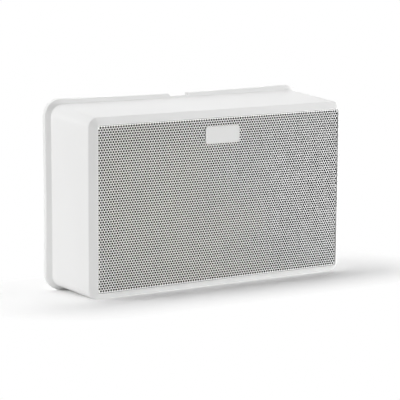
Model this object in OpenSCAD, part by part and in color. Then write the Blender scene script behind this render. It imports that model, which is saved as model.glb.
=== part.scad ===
// Wall-mounted cabinet loudspeaker with a perforated steel grille, a dual-cone driver
// and a line transformer. X runs to the right, Y from the listener towards the wall, Z up.
// The origin is at the middle of the part's footprint, level with its lowest edge.

/* [Cabinet] */
// Width of the opening that the grille fills
opening_w = 248; // [244:1:262]
// Height of the opening that the grille fills
opening_h = 147; // [145:1:156]
// Width and depth of the bevel round the front frame
bevel = 6.2; // [5:0.1:7.5]
// Flat rim between the bevel and the grille
rim = 0.4; // [0.3:0.1:1]
// Depth from the front rim to the wall
cabinet_d = 88.2; // [86:0.2:104]
// How far each side wall leans out on its way to the flange
lean_side = 0.3; // [0:0.1:2]
// How far the top and bottom walls lean out on their way to the flange
lean_top = 3.7; // [1.6:0.1:4]
// Thickness of the moulded walls
wall_t = 2.6; // [2.2:0.1:3]
// Corner radius of the front frame, outside its bevel
front_corner_r = 8.5; // [7.5:0.5:10]
// Corner radius of the cabinet where the flange starts
back_corner_r = 12; // [10:0.5:14]

/* [Flange] */
// How far the flange stands out from the side walls at its corners
lip_side = 4; // [2:0.1:4.5]
// How far the flange stands out from the top and bottom walls at its corners
lip_top = 3.7; // [3:0.1:5]
// Thickness of the flange's edge
lip_edge_t = 4.8; // [3.6:0.2:6]
// Depth of the lip's slope, from the walls out to the flange's edge
flare_d = 6; // [2:0.1:8]
// How far the long edges of the flange dip inward at their middle
dip_long = 1.5; // [0:0.1:2]
// How far the short edges of the flange dip inward at their middle
dip_short = 0.6; // [0:0.1:1.2]
// Width of the cable notch in the top of the flange
notch_w = 19.6; // [14:0.2:24]
// Sideways place of the cable notch
notch_x = 1.5; // [-6:0.5:6]

/* [Grille] */
// Thickness of the grille sheet
grille_t = 1; // [0.8:0.1:1.2]
// How far the grille lies behind the front rim
grille_inset = 0.8; // [0.6:0.1:1.2]
// Pitch of the perforation, three times the finest that such sheets have
hole_pitch = 7.5; // [7:0.5:10]
// Hole diameter as a share of the pitch
hole_share = 0.6; // [0.5:0.02:0.66]
// Width of the badge plate
badge_w = 35; // [30:1:44]
// Height of the badge plate
badge_h = 15.4; // [12:0.2:20]

/* [Driver] */
// Side of the driver's square frame plate
frame_side = 104; // [102:1:106]
// Voice coil diameter, inside its former
coil_d = 20; // [19.6:0.2:20.4]
// Magnet diameter
magnet_d = 62; // [56:1:66]

/* [Fixing] */
// Distance between the wall screws, side to side
wall_screw_dx = 224; // [216:1:226]
// Distance between the wall screws, top to bottom
wall_screw_dz = 120; // [112:1:124]
// Diameter of the wall screw holes
wall_screw_d = 4.6; // [4:0.1:5.2]
// Bore of the cable bush
cable_bore_d = 8; // [6:0.5:9]

/* [Hidden] */
$fn = 48;
eps = 0.01;

// Half widths and half heights of the housing at its front, at the flare and at the flange
front_hw = opening_w / 2 + bevel;
front_hh = opening_h / 2 + bevel;
back_hw = front_hw + lean_side;
back_hh = front_hh + lean_top;
flange_hw = back_hw + lip_side;
flange_hh = back_hh + lip_top;

// Share of the flange's dip that the walls already have where the flange starts
wall_dip = 0.6;

// Half width and half height of the hollow at the back
hollow_hw = back_hw - wall_t;
hollow_hh = back_hh - wall_dip * dip_long - wall_t;

// Height of the middle of the cabinet above the flange's lowest edge
mid_z = flange_hh;

// Places along the depth
front_y = -cabinet_d / 2;
wall_y = cabinet_d / 2;
bevel_y = front_y + bevel;
edge_y = wall_y - lip_edge_t;
flare_y = edge_y - flare_d;
grille_y = front_y + grille_inset;
cloth_t = 0.4;
ledge_y = grille_y + grille_t + cloth_t;
ledge_w = 4;
baffle_gap = 5.9;
baffle_y = ledge_y + baffle_gap;
baffle_back_y = baffle_y + wall_t;
plate_t = 2.5;
plate_y = wall_y - plate_t;

// Corner radii that follow from the outer ones
opening_r = front_corner_r - bevel;
flange_r = back_corner_r + lip_top;
inner_r = back_corner_r - wall_t;

// Fit between the wall plate and the cabinet
plate_gap = 0.3;
plate_hw = hollow_hw - plate_gap;
plate_hh = hollow_hh - plate_gap;
plate_r = inner_r - plate_gap;

// Rounded outline in the X and Z directions: four corner arcs joined by sides that can dip
corner_steps = 8;
side_steps = 8;
corner_sign = [[1, 1], [-1, 1], [-1, -1], [1, -1]];
inward = [[0, -1], [1, 0], [0, 1], [-1, 0]];

function arc_point(hw, hh, r, q, a) =
    [corner_sign[q][0] * (hw - r) + r * cos(90 * q + a), corner_sign[q][1] * (hh - r) + r * sin(90 * q + a)];

function dip_at(s, dip) = dip * (1 - pow(2 * s - 1, 2));

function side_point(hw, hh, r, q, s, dip) =
    arc_point(hw, hh, r, q, 90) * (1 - s) + arc_point(hw, hh, r, (q + 1) % 4, 0) * s
    + inward[q] * dip_at(s, dip);

function outline(hw, hh, r, long_dip, short_dip) = [
    for (q = [0 : 3]) each concat(
        [for (i = [0 : corner_steps]) arc_point(hw, hh, r, q, 90 * i / corner_steps)],
        [for (i = [1 : side_steps - 1])
            side_point(hw, hh, r, q, i / side_steps, q % 2 == 0 ? long_dip : short_dip)]
    )
];

// A section is [depth, half width, half height, corner radius, share of the flange's dip]
function ring_at(s) = [
    for (p = outline(s[1], s[2], s[3], dip_long * s[4], dip_short * s[4])) [p[0], s[0], mid_z + p[1]]
];

// Skin through sections that are listed from the front to the wall
module loft(sections) {
    n = 4 * (corner_steps + side_steps);
    last = len(sections) - 1;
    points = concat(
        [for (s = sections) each ring_at(s)],
        [[0, sections[0][0], mid_z], [0, sections[last][0], mid_z]]
    );
    front_cap = [for (i = [0 : n - 1]) [len(points) - 2, (i + 1) % n, i]];
    back_cap = [for (i = [0 : n - 1]) [len(points) - 1, last * n + i, last * n + (i + 1) % n]];
    skin = [
        for (k = [0 : last - 1], i = [0 : n - 1]) each [
            [k * n + i, k * n + (i + 1) % n, (k + 1) * n + (i + 1) % n],
            [k * n + i, (k + 1) * n + (i + 1) % n, (k + 1) * n + i]
        ]
    ];
    polyhedron(points = points, faces = concat(front_cap, skin, back_cap));
}

// Rectangle with round corners
module rounded(w, h, r) {
    square([w - 2 * r, h], center = true);
    square([w, h - 2 * r], center = true);
    for (sx = [-1, 1], sz = [-1, 1]) translate([sx * (w / 2 - r), sz * (h / 2 - r)]) circle(r);
}

// Plate with rounded corners between two depths
module slab(w, h, r, y0, y1) {
    translate([0, y1, mid_z]) rotate([90, 0, 0]) linear_extrude(y1 - y0) rounded(w, h, r);
}

// Cylinder along the depth, from y0 to y1, at a place given from the cabinet's middle
module rod(x, z, r, y0, y1) {
    translate([x, y1, mid_z + z]) rotate([90, 0, 0]) cylinder(r = r, h = y1 - y0);
}

// Block between two corners given from the cabinet's middle height
module block(x0, x1, y0, y1, z0, z1) {
    translate([x0, y0, mid_z + z0]) cube([x1 - x0, y1 - y0, z1 - z0]);
}

// Tube along a smooth curve through the given points, in cabinet coordinates with Z from the middle
lead_sides = 8;
lead_steps = 5;

function curve_at(p, k, t) =
    let (
        a = p[max(k - 1, 0)],
        b = p[k],
        c = p[k + 1],
        d = p[min(k + 2, len(p) - 1)]
    )
    0.5 * (2 * b + (c - a) * t + (2 * a - 5 * b + 4 * c - d) * t * t + (3 * b - a - 3 * c + d) * t * t * t);

function curve(p) = concat(
    [for (k = [0 : len(p) - 2], i = [0 : lead_steps - 1]) curve_at(p, k, i / lead_steps)],
    [p[len(p) - 1]]
);

function unit(v) = v / norm(v);

module lead(route, d, turn) {
    c = curve(route);
    last = len(c) - 1;
    n = lead_sides;
    points = [
        for (k = [0 : last])
            let (
                along = unit(c[min(k + 1, last)] - c[max(k - 1, 0)]),
                u = unit(cross(along, turn)),
                v = cross(along, u)
            )
            for (i = [0 : n - 1]) c[k] + d / 2 * (u * cos(360 * i / n) + v * sin(360 * i / n))
    ];
    skin = [
        for (k = [0 : last - 1], i = [0 : n - 1]) each [
            [k * n + i, k * n + (i + 1) % n, (k + 1) * n + (i + 1) % n],
            [k * n + i, (k + 1) * n + (i + 1) % n, (k + 1) * n + i]
        ]
    ];
    start_cap = [[for (i = [n - 1 : -1 : 0]) i]];
    end_cap = [[for (i = [0 : n - 1]) last * n + i]];
    translate([0, 0, mid_z]) polyhedron(points = points, faces = concat(start_cap, skin, end_cap));
}

// Cabinet

function body_share(y) = (y - bevel_y) / (flare_y - bevel_y);
function body_hw(y) = front_hw + lean_side * body_share(y);
function body_hh(y) = front_hh + lean_top * body_share(y);

lip_round = 0.5;

module outer_skin() {
    loft([
        [front_y, opening_w / 2 + rim, opening_h / 2 + rim, opening_r + rim, 0],
        [bevel_y, front_hw, front_hh, front_corner_r, 0],
        [flare_y, back_hw, back_hh, back_corner_r, wall_dip],
        [edge_y, flange_hw - lip_round, flange_hh - lip_round, flange_r - lip_round, 1],
        [edge_y + lip_round, flange_hw, flange_hh, flange_r, 1],
        [wall_y, flange_hw, flange_hh, flange_r, 1]
    ]);
}

module inner_hollow() {
    loft([
        [baffle_back_y, body_hw(baffle_back_y) - wall_t, body_hh(baffle_back_y) - wall_t, 6, 0],
        [flare_y, hollow_hw, hollow_hh, inner_r, 0],
        [wall_y + 1, hollow_hw, hollow_hh, inner_r, 0]
    ]);
}

// Recess for the grille, and the deeper pocket between its ledge and the baffle
module front_recess() {
    slab(opening_w, opening_h, opening_r, front_y - 1, ledge_y);
    slab(opening_w - 2 * ledge_w, opening_h - 2 * ledge_w, opening_r, ledge_y - eps, baffle_y);
}

// Cable notch: down to a sill in the flange, and deep at the wall
notch_sill_h = 1.4;
notch_deep_d = 7;
notch_deep_z = hollow_hh - 1;
notch_x0 = notch_x - notch_w / 2;
notch_x1 = notch_x + notch_w / 2;

module cable_notch() {
    top = flange_hh + 1;
    block(notch_x0, notch_x1, flare_y - 1, wall_y + 1, hollow_hh + wall_t + notch_sill_h, top);
    block(notch_x0, notch_x1, wall_y - notch_deep_d, wall_y + 1, notch_deep_z, top);
}

// Screws that hold the driver: places, bosses and bores
screw_reach = 40.7;
frame_y = baffle_back_y + 1.5;
screw_boss_r = 4.2;
screw_r = 1.7;
screw_bore_r = 1.75;
screw_head_r = 3.4;
screw_head_t = 2.2;

module driver_bosses() {
    for (c = corner_sign) rod(c[0] * screw_reach, c[1] * screw_reach, screw_boss_r, baffle_y - 4.5, frame_y);
}

module driver_bores() {
    for (c = corner_sign)
        rod(c[0] * screw_reach, c[1] * screw_reach, screw_bore_r, baffle_y - 3.4, frame_y + 1);
}

baffle_hole_r = 47.9;

// Two screws come up through the bottom wall into ears of the wall plate
ear_x = 85;
ear_screw_y = wall_y - 15;
ear_seat_z = -hollow_hh - 1.5;
seat_r = 4.4;

module bottom_screw_holes() {
    for (sx = [-1, 1]) translate([sx * ear_x, ear_screw_y, mid_z]) {
        translate([0, 0, -flange_hh]) cylinder(r = seat_r, h = flange_hh + ear_seat_z);
        translate([0, 0, -flange_hh]) cylinder(r = 1.9, h = 12);
    }
}

// Pockets in the top wall that the wall plate's snap tongues catch in
tongue_w = 16;
tongue_y = wall_y - 16.5;
catch_d = 3;
catch_h = 1;

module tongue_pockets() {
    for (sx = [-1, 1])
        block(sx * ear_x - tongue_w / 2 - 1, sx * ear_x + tongue_w / 2 + 1,
            tongue_y - 0.6, tongue_y + catch_d + 0.6, plate_hh - 2, plate_hh + catch_h + 0.4);
}

module cabinet() {
    color("whitesmoke") difference() {
        union() {
            difference() {
                outer_skin();
                inner_hollow();
                front_recess();
            }
            driver_bosses();
        }
        rod(0, 0, baffle_hole_r, baffle_y - 1, baffle_back_y + 1);
        driver_bores();
        cable_notch();
        bottom_screw_holes();
        tongue_pockets();
    }
}

// Grille, its cloth and the badge

grille_gap = 0.45;
cloth_gap = 0.1;
grille_w = opening_w - 2 * grille_gap;
grille_h = opening_h - 2 * grille_gap;
grille_r = opening_r - grille_gap;
row_pitch = hole_pitch * sqrt(3) / 2;
hole_r = hole_share * hole_pitch / 2;
hole_margin = hole_r + 0.9;

module grille() {
    rows = floor(grille_h / 2 / row_pitch);
    columns = ceil(grille_w / 2 / hole_pitch);
    color("gainsboro") translate([0, grille_y + grille_t, mid_z]) rotate([90, 0, 0]) linear_extrude(grille_t)
        difference() {
            rounded(grille_w, grille_h, grille_r);
            for (row = [-rows : rows], column = [-columns : columns]) {
                x = (column + (row % 2 == 0 ? 0 : 0.5)) * hole_pitch;
                z = row * row_pitch;
                if (abs(x) < grille_w / 2 - hole_margin && abs(z) < grille_h / 2 - hole_margin)
                    translate([x, z]) circle(hole_r, $fn = 24);
            }
        }
}

module grille_cloth() {
    color("black")
        slab(opening_w - 2 * cloth_gap, opening_h - 2 * cloth_gap, opening_r - cloth_gap,
            grille_y + grille_t, ledge_y);
}

badge_t = grille_inset;
badge_z = opening_h / 2 - 8 - badge_h / 2;

module badge() {
    color("white") translate([0, 0, badge_z]) difference() {
        slab(badge_w, badge_h, 2.2, grille_y - badge_t, grille_y);
        slab(badge_w - 3, badge_h - 3, 1.2, grille_y - badge_t - 1, grille_y - badge_t + 0.25);
    }
}

// Wall plate: panel, upstand rib, ears, snap tongues, bosses and holes

ear_w = 16;
ear_t = 4;
ear_y = wall_y - 22.5;
ear_clear = 0.5;
rib_t = 1.8;
rib_d = 8;
rib_gap = 0.6;
wall_boss_r = 5.5;
wall_boss_d = 3;
bush_x = 52;
bush_z = 22;
bush_hole_r = cable_bore_d / 2 + 3;
plate_slot_z = hollow_hh - 13.4;

// Line transformer, stood on two pads
core_x = -88;
core_z = -8;
core_w = 42;
core_d = 35;
core_t = 14;
pad_d = 4;
core_back_y = plate_y - pad_d;
core_front_y = core_back_y - core_d;
strap_t = 1;
foot_w = 11;
foot_screw_x = core_w / 2 + strap_t + foot_w / 2;

// Terminal block, screwed straight to the panel
block_x = 8;
block_z = 50;
block_w = 34;
block_h = 18;
block_d = 15;
block_front_y = plate_y - block_d;
pole_pitch = 10;
block_screw_r = 1.5;

module upstand_rib() {
    difference() {
        slab(2 * (plate_hw - rib_gap), 2 * (plate_hh - rib_gap), plate_r, plate_y - rib_d, plate_y + eps);
        slab(2 * (plate_hw - rib_gap - rib_t), 2 * (plate_hh - rib_gap - rib_t), plate_r - rib_t,
            plate_y - rib_d - 1, plate_y + 1);
    }
}

module ears() {
    for (sx = [-1, 1])
        block(sx * ear_x - ear_w / 2, sx * ear_x + ear_w / 2, ear_y, plate_y + eps,
            -plate_hh + ear_clear, -plate_hh + ear_clear + ear_t);
}

module snap_tongues() {
    for (sx = [-1, 1]) {
        block(sx * ear_x - tongue_w / 2, sx * ear_x + tongue_w / 2, tongue_y, plate_y + eps,
            plate_hh - 3.2, plate_hh - 0.2);
        block(sx * ear_x - tongue_w / 2, sx * ear_x + tongue_w / 2, tongue_y, tongue_y + catch_d,
            plate_hh - 0.2 - eps, plate_hh + catch_h - 0.2);
    }
}

module wall_plate() {
    color("gainsboro") difference() {
        union() {
            slab(2 * plate_hw, 2 * plate_hh, plate_r, plate_y, wall_y);
            upstand_rib();
            ears();
            snap_tongues();
            for (c = corner_sign)
                rod(c[0] * wall_screw_dx / 2, c[1] * wall_screw_dz / 2, wall_boss_r, plate_y - wall_boss_d,
                    plate_y + eps);
            for (sx = [-1, 1])
                translate([sx * foot_screw_x, 0, 0])
                    block(core_x - foot_w / 2 - 1, core_x + foot_w / 2 + 1, core_back_y, plate_y + eps,
                        core_z - core_t / 2 - 1, core_z + core_t / 2 + 1);
        }
        for (c = corner_sign)
            rod(c[0] * wall_screw_dx / 2, c[1] * wall_screw_dz / 2, wall_screw_d / 2,
                plate_y - 10, wall_y + 1);
        for (sx = [-1, 1]) {
            translate([sx * ear_x, ear_screw_y, mid_z - plate_hh - 1]) cylinder(r = 1.55, h = 8);
            rod(core_x + sx * foot_screw_x, core_z, 1.65, core_back_y - 1, plate_y + 1.4);
            rod(block_x + sx * pole_pitch / 2, block_z, block_screw_r + 0.05, plate_y - 1, plate_y + 1.9);
        }
        rod(bush_x, bush_z, bush_hole_r, plate_y - 1, wall_y + 1);
        block(notch_x0, notch_x1, plate_y - rib_d - 1, wall_y + 1, plate_slot_z, plate_hh + 1);
    }
}

// Rubber bush clipped into the wall plate: a sleeve with a collar inside and a groove for the panel
module cable_grommet() {
    bore = cable_bore_d / 2;
    color("dimgray") translate([bush_x, wall_y, mid_z + bush_z]) rotate([90, 0, 0]) rotate_extrude() polygon([
        [bore, 0], [bush_hole_r, 0], [bush_hole_r, plate_t], [bush_hole_r + 2.5, plate_t],
        [bush_hole_r + 2, plate_t + 1.8], [bore + 1.4, plate_t + 7], [bore, plate_t + 7]
    ]);
}

// Pan-head screw along local Z, its head's underside at 0 and a cross recess in the head
module pan_screw(shank_r, shank_l, head_r, head_t) {
    difference() {
        union() {
            cylinder(r = shank_r, h = shank_l);
            translate([0, 0, -head_t]) cylinder(r = head_r, h = head_t);
        }
        for (a = [0, 90])
            rotate(a) translate([-head_r * 0.6, -0.4, -head_t - 1]) cube([head_r * 1.2, 0.8, 2]);
    }
}

module cabinet_screws() {
    color("silver") for (sx = [-1, 1])
        translate([sx * ear_x, ear_screw_y, mid_z + ear_seat_z]) pan_screw(1.5, 6, 3.4, 2);
}

// Driver. Its pieces are turned about local Z, which points at the listener, with 0 at the front
// face of the frame plate
module in_driver() {
    translate([0, frame_y, mid_z]) rotate([90, 0, 0]) children();
}

module ring(r_in, r_out, z0, z1) {
    translate([0, 0, z0]) difference() {
        cylinder(r = r_out, h = z1 - z0);
        translate([0, 0, -1]) cylinder(r = r_in, h = z1 - z0 + 2);
    }
}

frame_t = 1.2;
frame_corner_r = 61;
frame_hole_r = 2.1;
mouth_r = 45.2;
bowl_top_z = -3;
shelf_z = -21;
shelf_r0 = 24.5;
shelf_r1 = 29.5;
bowl_back_z = -29;
gasket_t = 1.5;

// Motor: top plate, magnet and yoke, one behind the other
top_plate_t = 4;
magnet_t = 9;
yoke_t = 4;
top_plate_z = bowl_back_z - frame_t - top_plate_t;
magnet_z = top_plate_z - magnet_t;
yoke_z = magnet_z - yoke_t;
former_r = coil_d / 2;
former_t = 0.2;
winding_t = 0.4;
gap_clear = 0.4;
former_out_r = former_r + former_t;
winding_r = former_out_r + winding_t;
pole_r = former_r - gap_clear;
plate_hole_r = winding_r + gap_clear;
winding_l = 7;
winding_z = top_plate_z + (top_plate_t - winding_l) / 2;
neck_z = -18;

module driver_basket() {
    window_z0 = shelf_z + 1.6;
    window_z1 = bowl_top_z - 2.4;
    color("darkgray") in_driver() difference() {
        union() {
            translate([0, 0, -frame_t]) linear_extrude(frame_t) difference() {
                intersection() {
                    square(frame_side, center = true);
                    circle(frame_corner_r);
                }
                circle(mouth_r);
            }
            rotate_extrude() polygon([
                [mouth_r + 1.2, 0], [mouth_r, 0], [mouth_r - 1.2, bowl_top_z], [shelf_r1, shelf_z],
                [shelf_r0, shelf_z], [shelf_r0, bowl_back_z], [14, bowl_back_z],
                [14, bowl_back_z - frame_t], [shelf_r0 + frame_t, bowl_back_z - frame_t],
                [shelf_r0 + frame_t, shelf_z - frame_t], [shelf_r1 + 0.6, shelf_z - frame_t],
                [mouth_r + 0.2, bowl_top_z - 0.6], [mouth_r + 1.2, -0.6]
            ]);
        }
        for (c = corner_sign)
            translate([c[0] * screw_reach, c[1] * screw_reach, -5]) cylinder(r = frame_hole_r, h = 10);
        for (a = [0 : 90 : 270]) rotate(a - 30) rotate_extrude(angle = 60) translate([shelf_r0, window_z0])
            square([mouth_r - shelf_r0 + 5, window_z1 - window_z0]);
    }
}

module driver_gasket() {
    color("black") in_driver() ring(baffle_hole_r + 0.1, 52, 0, gasket_t);
}

module driver_screws() {
    color("silver") in_driver() for (c = corner_sign)
        translate([c[0] * screw_reach, c[1] * screw_reach, -frame_t])
            pan_screw(screw_r, frame_t + 6.3, screw_head_r, screw_head_t);
}

module top_plate() {
    color("silver") in_driver() ring(plate_hole_r, magnet_d / 2 - 1, top_plate_z, top_plate_z + top_plate_t);
}

module magnet() {
    color("dimgray") in_driver() ring(15, magnet_d / 2, magnet_z, top_plate_z);
}

// Back plate and pole piece, turned as one, with a vent through the pole
module pole_yoke() {
    pole_top_z = top_plate_z + top_plate_t + 0.5;
    color("silver") in_driver() rotate_extrude() polygon([
        [3, yoke_z], [magnet_d / 2 - 3, yoke_z], [magnet_d / 2 - 2, yoke_z + 1], [magnet_d / 2 - 2, magnet_z],
        [pole_r, magnet_z], [pole_r, pole_top_z - 0.6], [pole_r - 0.6, pole_top_z], [3, pole_top_z]
    ]);
}

module coil_former() {
    color("peru") in_driver() ring(former_r, former_out_r, winding_z - 0.8, neck_z);
}

module voice_coil() {
    color("chocolate") in_driver() ring(former_out_r, winding_r, winding_z, winding_z + winding_l);
}

// Sheet that follows a profile of [radius, height] points, thick towards the front
function sheet(top, t) = concat(top, [for (i = [len(top) - 1 : -1 : 0]) top[i] - [0, t]]);

cone_t = 0.6;
cone_r = 37;
lip_r = 39.4;
cone_steps = 10;

function cone_z(s) = neck_z + (-neck_z - 0.2) * pow(s, 0.85);

module cone() {
    top = concat(
        [for (i = [0 : cone_steps])
            let (s = i / cone_steps) [former_out_r + (cone_r - former_out_r) * s, cone_z(s)]],
        [[lip_r, 0]]
    );
    color("dimgray") in_driver() rotate_extrude() polygon(sheet(top, cone_t));
}

whizzer_r = 21;
whizzer_t = 0.4;

module whizzer_cone() {
    rise = 9.5;
    top = [for (i = [0 : cone_steps])
        let (s = i / cone_steps)
        [former_r + (whizzer_r - former_r) * s, neck_z + 0.6 + rise * pow(s, 1.25) + whizzer_t]];
    color("tan") in_driver() difference() {
        rotate_extrude() polygon(sheet(concat(top, [[whizzer_r + 0.8, neck_z + 1.1 + rise]]), whizzer_t));
        cone_clearance();
    }
}

// Space that the main cone takes, so that the small cone's foot sits on it
module cone_clearance() {
    top = [for (i = [0 : cone_steps])
        let (s = i / cone_steps) [former_out_r + (cone_r - former_out_r) * s, cone_z(s)]];
    rotate_extrude() polygon(concat(top, [[cone_r, neck_z - 3], [former_out_r, neck_z - 3]]));
}

// Domed cap that closes the former, inside the small cone
module dust_cap() {
    rise = 3.2;
    steps = 8;
    top = [for (i = [0 : steps])
        let (a = 90 * i / steps) [(former_r - 0.1) * sin(a), neck_z + 0.4 + rise * cos(a)]];
    color("tan") in_driver() rotate_extrude() polygon(sheet(top, 0.4));
}

// Half-roll edge between the cone's lip and the frame plate
module surround() {
    roll_r = 2.5;
    roll_t = 0.5;
    roll_mid = lip_r + 0.4 + roll_r;
    steps = 12;
    turns = [for (i = [0 : steps]) 180 - 180 * i / steps];
    function roll_arc(r) = [for (a = turns) [roll_mid + r * cos(a), roll_t / 2 + r * sin(a)]];
    over = roll_arc(roll_r + roll_t / 2);
    under = roll_arc(roll_r - roll_t / 2);
    color("black") in_driver() rotate_extrude() polygon(concat(
        [[cone_r + 0.6, 0], [cone_r + 0.6, roll_t], [over[0][0], roll_t]],
        over,
        [[over[steps][0], roll_t], [baffle_hole_r - 0.4, roll_t], [baffle_hole_r - 0.4, 0]],
        [for (i = [steps : -1 : 0]) under[i]]
    ));
}

// Corrugated disc that centres the coil, glued to the basket's shelf
module spider() {
    wave = 0.9;
    waves = 4;
    steps = 32;
    r0 = former_out_r;
    r1 = shelf_r0 + 3.6;
    t = 0.4;
    inner_r = r0 + 1.6;
    outer_r = shelf_r0 - 0.4;
    top = concat(
        [[r0, shelf_z + t]],
        [for (i = [0 : steps])
            let (s = i / steps)
            [inner_r + (outer_r - inner_r) * s, shelf_z + t + wave * sin(360 * waves * s)]],
        [[r1, shelf_z + t]]
    );
    color("goldenrod") in_driver() rotate_extrude() polygon(sheet(top, t));
}

// Board riveted behind the basket's shelf, on the side of the transformer, and its two tags
strip_in = 26;
strip_out = 42;
strip_t = 1.2;
strip_z = shelf_z - frame_t - strip_t;
tag_x = 5.5;
tag_w = 3;
tag_t = 0.6;
tag_end = 49;

module terminal_strip() {
    color("saddlebrown") in_driver() translate([-strip_out, -10, strip_z])
        cube([strip_out - strip_in, 20, strip_t]);
}

module solder_tags() {
    color("gold") in_driver() for (sy = [-1, 1]) difference() {
        translate([-tag_end, sy * tag_x - tag_w / 2, strip_z + strip_t]) cube([tag_end - 33, tag_w, tag_t]);
        translate([-tag_end + 2, sy * tag_x, strip_z]) cylinder(r = 0.8, h = 5);
    }
}

// Two braids from the tags through a basket window to the back of the cone
module tinsel_leads() {
    tag_y = frame_y - (strip_z + strip_t + tag_t);
    color("chocolate") for (sz = [-1, 1]) lead([
        [-35, tag_y - 0.5, sz * tag_x], [-34.6, tag_y - 3.2, sz * tag_x], [-33, tag_y - 6, sz * tag_x],
        [-29, tag_y - 7.4, sz * tag_x], [-25.4, tag_y - 9.4, sz * tag_x]
    ], 1, [0, 0, 1]);
}

// Transformer: laminated core with two windows, bobbin, winding and strap

leg_w = core_w / 6;

module transformer_core() {
    color("slategray") difference() {
        block(core_x - core_w / 2, core_x + core_w / 2, core_front_y, core_back_y,
            core_z - core_t / 2, core_z + core_t / 2);
        for (sx = [-1, 1])
            block(core_x + sx * 1.5 * leg_w - leg_w / 2, core_x + sx * 1.5 * leg_w + leg_w / 2,
                core_front_y + leg_w, core_back_y - leg_w, core_z - core_t, core_z + core_t);
    }
}

bobbin_gap = 0.1;
bobbin_t = 0.8;
bobbin_flange_t = 1;
bobbin_y0 = core_front_y + leg_w + bobbin_gap;
bobbin_y1 = core_back_y - leg_w - bobbin_gap;
leg_hole_x = leg_w + bobbin_gap;
leg_hole_z = core_t / 2 + bobbin_gap;
flange_x = 2 * leg_w - bobbin_gap;
flange_z = core_t / 2 + 6.5;

module around_leg(hx, hz, y0, y1) {
    block(core_x - hx, core_x + hx, y0, y1, core_z - hz, core_z + hz);
}

module transformer_bobbin() {
    color("ivory") difference() {
        union() {
            around_leg(leg_hole_x + bobbin_t, leg_hole_z + bobbin_t, bobbin_y0, bobbin_y1);
            around_leg(flange_x, flange_z, bobbin_y0, bobbin_y0 + bobbin_flange_t);
            around_leg(flange_x, flange_z, bobbin_y1 - bobbin_flange_t, bobbin_y1);
        }
        around_leg(leg_hole_x, leg_hole_z, bobbin_y0 - 1, bobbin_y1 + 1);
    }
}

module transformer_winding() {
    r = 1.5;
    hx = flange_x - 0.6;
    hz = flange_z - 0.6;
    color("chocolate") difference() {
        translate([core_x, 0, core_z])
            slab(2 * hx, 2 * hz, r, bobbin_y0 + bobbin_flange_t, bobbin_y1 - bobbin_flange_t);
        around_leg(leg_hole_x + bobbin_t, leg_hole_z + bobbin_t, bobbin_y0, bobbin_y1);
    }
}

module transformer_strap() {
    hx = core_w / 2;
    hz = core_t / 2 - 1;
    color("silver") difference() {
        union() {
            block(core_x - hx - strap_t, core_x + hx + strap_t, core_front_y - strap_t, core_front_y,
                core_z - hz, core_z + hz);
            for (sx = [-1, 1]) {
                translate([core_x + sx * (hx + strap_t / 2), 0, 0])
                    block(-strap_t / 2, strap_t / 2, core_front_y - eps, core_back_y,
                        core_z - hz, core_z + hz);
                block(core_x + sx * foot_screw_x - foot_w / 2, core_x + sx * foot_screw_x + foot_w / 2,
                    core_back_y - strap_t, core_back_y, core_z - hz, core_z + hz);
            }
        }
        for (sx = [-1, 1]) rod(core_x + sx * foot_screw_x, core_z, 1.8, core_back_y - 3, core_back_y + 1);
    }
}

module transformer_screws() {
    color("silver") for (sx = [-1, 1])
        translate([core_x + sx * foot_screw_x, core_back_y - strap_t, mid_z + core_z]) rotate([-90, 0, 0])
            pan_screw(1.6, 6.2, 2.9, 1.8);
}

// Terminal block: ceramic body, brass clamps, clamp screws and fixing screws

channel = 5;
channel_y = block_front_y + 5.5;
clamp_l = 12;

module terminal_block() {
    color("white") difference() {
        block(block_x - block_w / 2, block_x + block_w / 2, block_front_y, plate_y,
            block_z - block_h / 2, block_z + block_h / 2);
        for (sx = [-1, 0, 1]) {
            block(block_x + sx * pole_pitch - channel / 2, block_x + sx * pole_pitch + channel / 2,
                channel_y, channel_y + channel, block_z - block_h, block_z + block_h);
            for (sz = [-1, 1])
                rod(block_x + sx * pole_pitch, block_z + sz * 3.2, 1.9, block_front_y - 1, channel_y + 1);
        }
        for (sx = [-1, 1]) {
            rod(block_x + sx * pole_pitch / 2, block_z, 1.6, block_front_y - 1, plate_y + 1);
            rod(block_x + sx * pole_pitch / 2, block_z, 2.4, block_front_y - 1, block_front_y + 4);
            block(block_x + sx * pole_pitch / 2 - 0.8, block_x + sx * pole_pitch / 2 + 0.8,
                block_front_y - 1, block_front_y + 2.5, block_z - block_h, block_z + block_h);
        }
    }
}

module terminal_clamps() {
    side = channel - 0.2;
    color("gold") for (sx = [-1, 0, 1]) difference() {
        block(block_x + sx * pole_pitch - side / 2, block_x + sx * pole_pitch + side / 2,
            channel_y + 0.1, channel_y + 0.1 + side, block_z - clamp_l / 2, block_z + clamp_l / 2);
        translate([block_x + sx * pole_pitch, channel_y + channel / 2 + 0.4, mid_z + block_z - clamp_l])
            cylinder(r = 1.5, h = 2 * clamp_l);
        for (sz = [-1, 1])
            rod(block_x + sx * pole_pitch, block_z + sz * 3.2, 1.3, channel_y - 1, channel_y + channel / 2);
    }
}

module terminal_screws() {
    tip_y = mouth_y - lead_d / 2 - 0.05;
    color("silver") for (sx = [-1, 0, 1], sz = [-1, 1])
        translate([block_x + sx * pole_pitch, tip_y, mid_z + block_z + sz * 3.2])
        rotate([90, 0, 0]) difference() {
            union() {
                cylinder(r = 1.25, h = 4.5);
                translate([0, 0, 3]) cylinder(r = 1.8, h = 1.8);
            }
            translate([-3, -0.25, 4]) cube([6, 0.5, 2]);
        }
}

module block_screws() {
    seat_y = block_front_y + 4;
    color("silver") for (sx = [-1, 1])
        translate([block_x + sx * pole_pitch / 2, seat_y, mid_z + block_z]) rotate([-90, 0, 0])
            pan_screw(block_screw_r, plate_y + 1.7 - seat_y, 2.3, 1.6);
}

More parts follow.
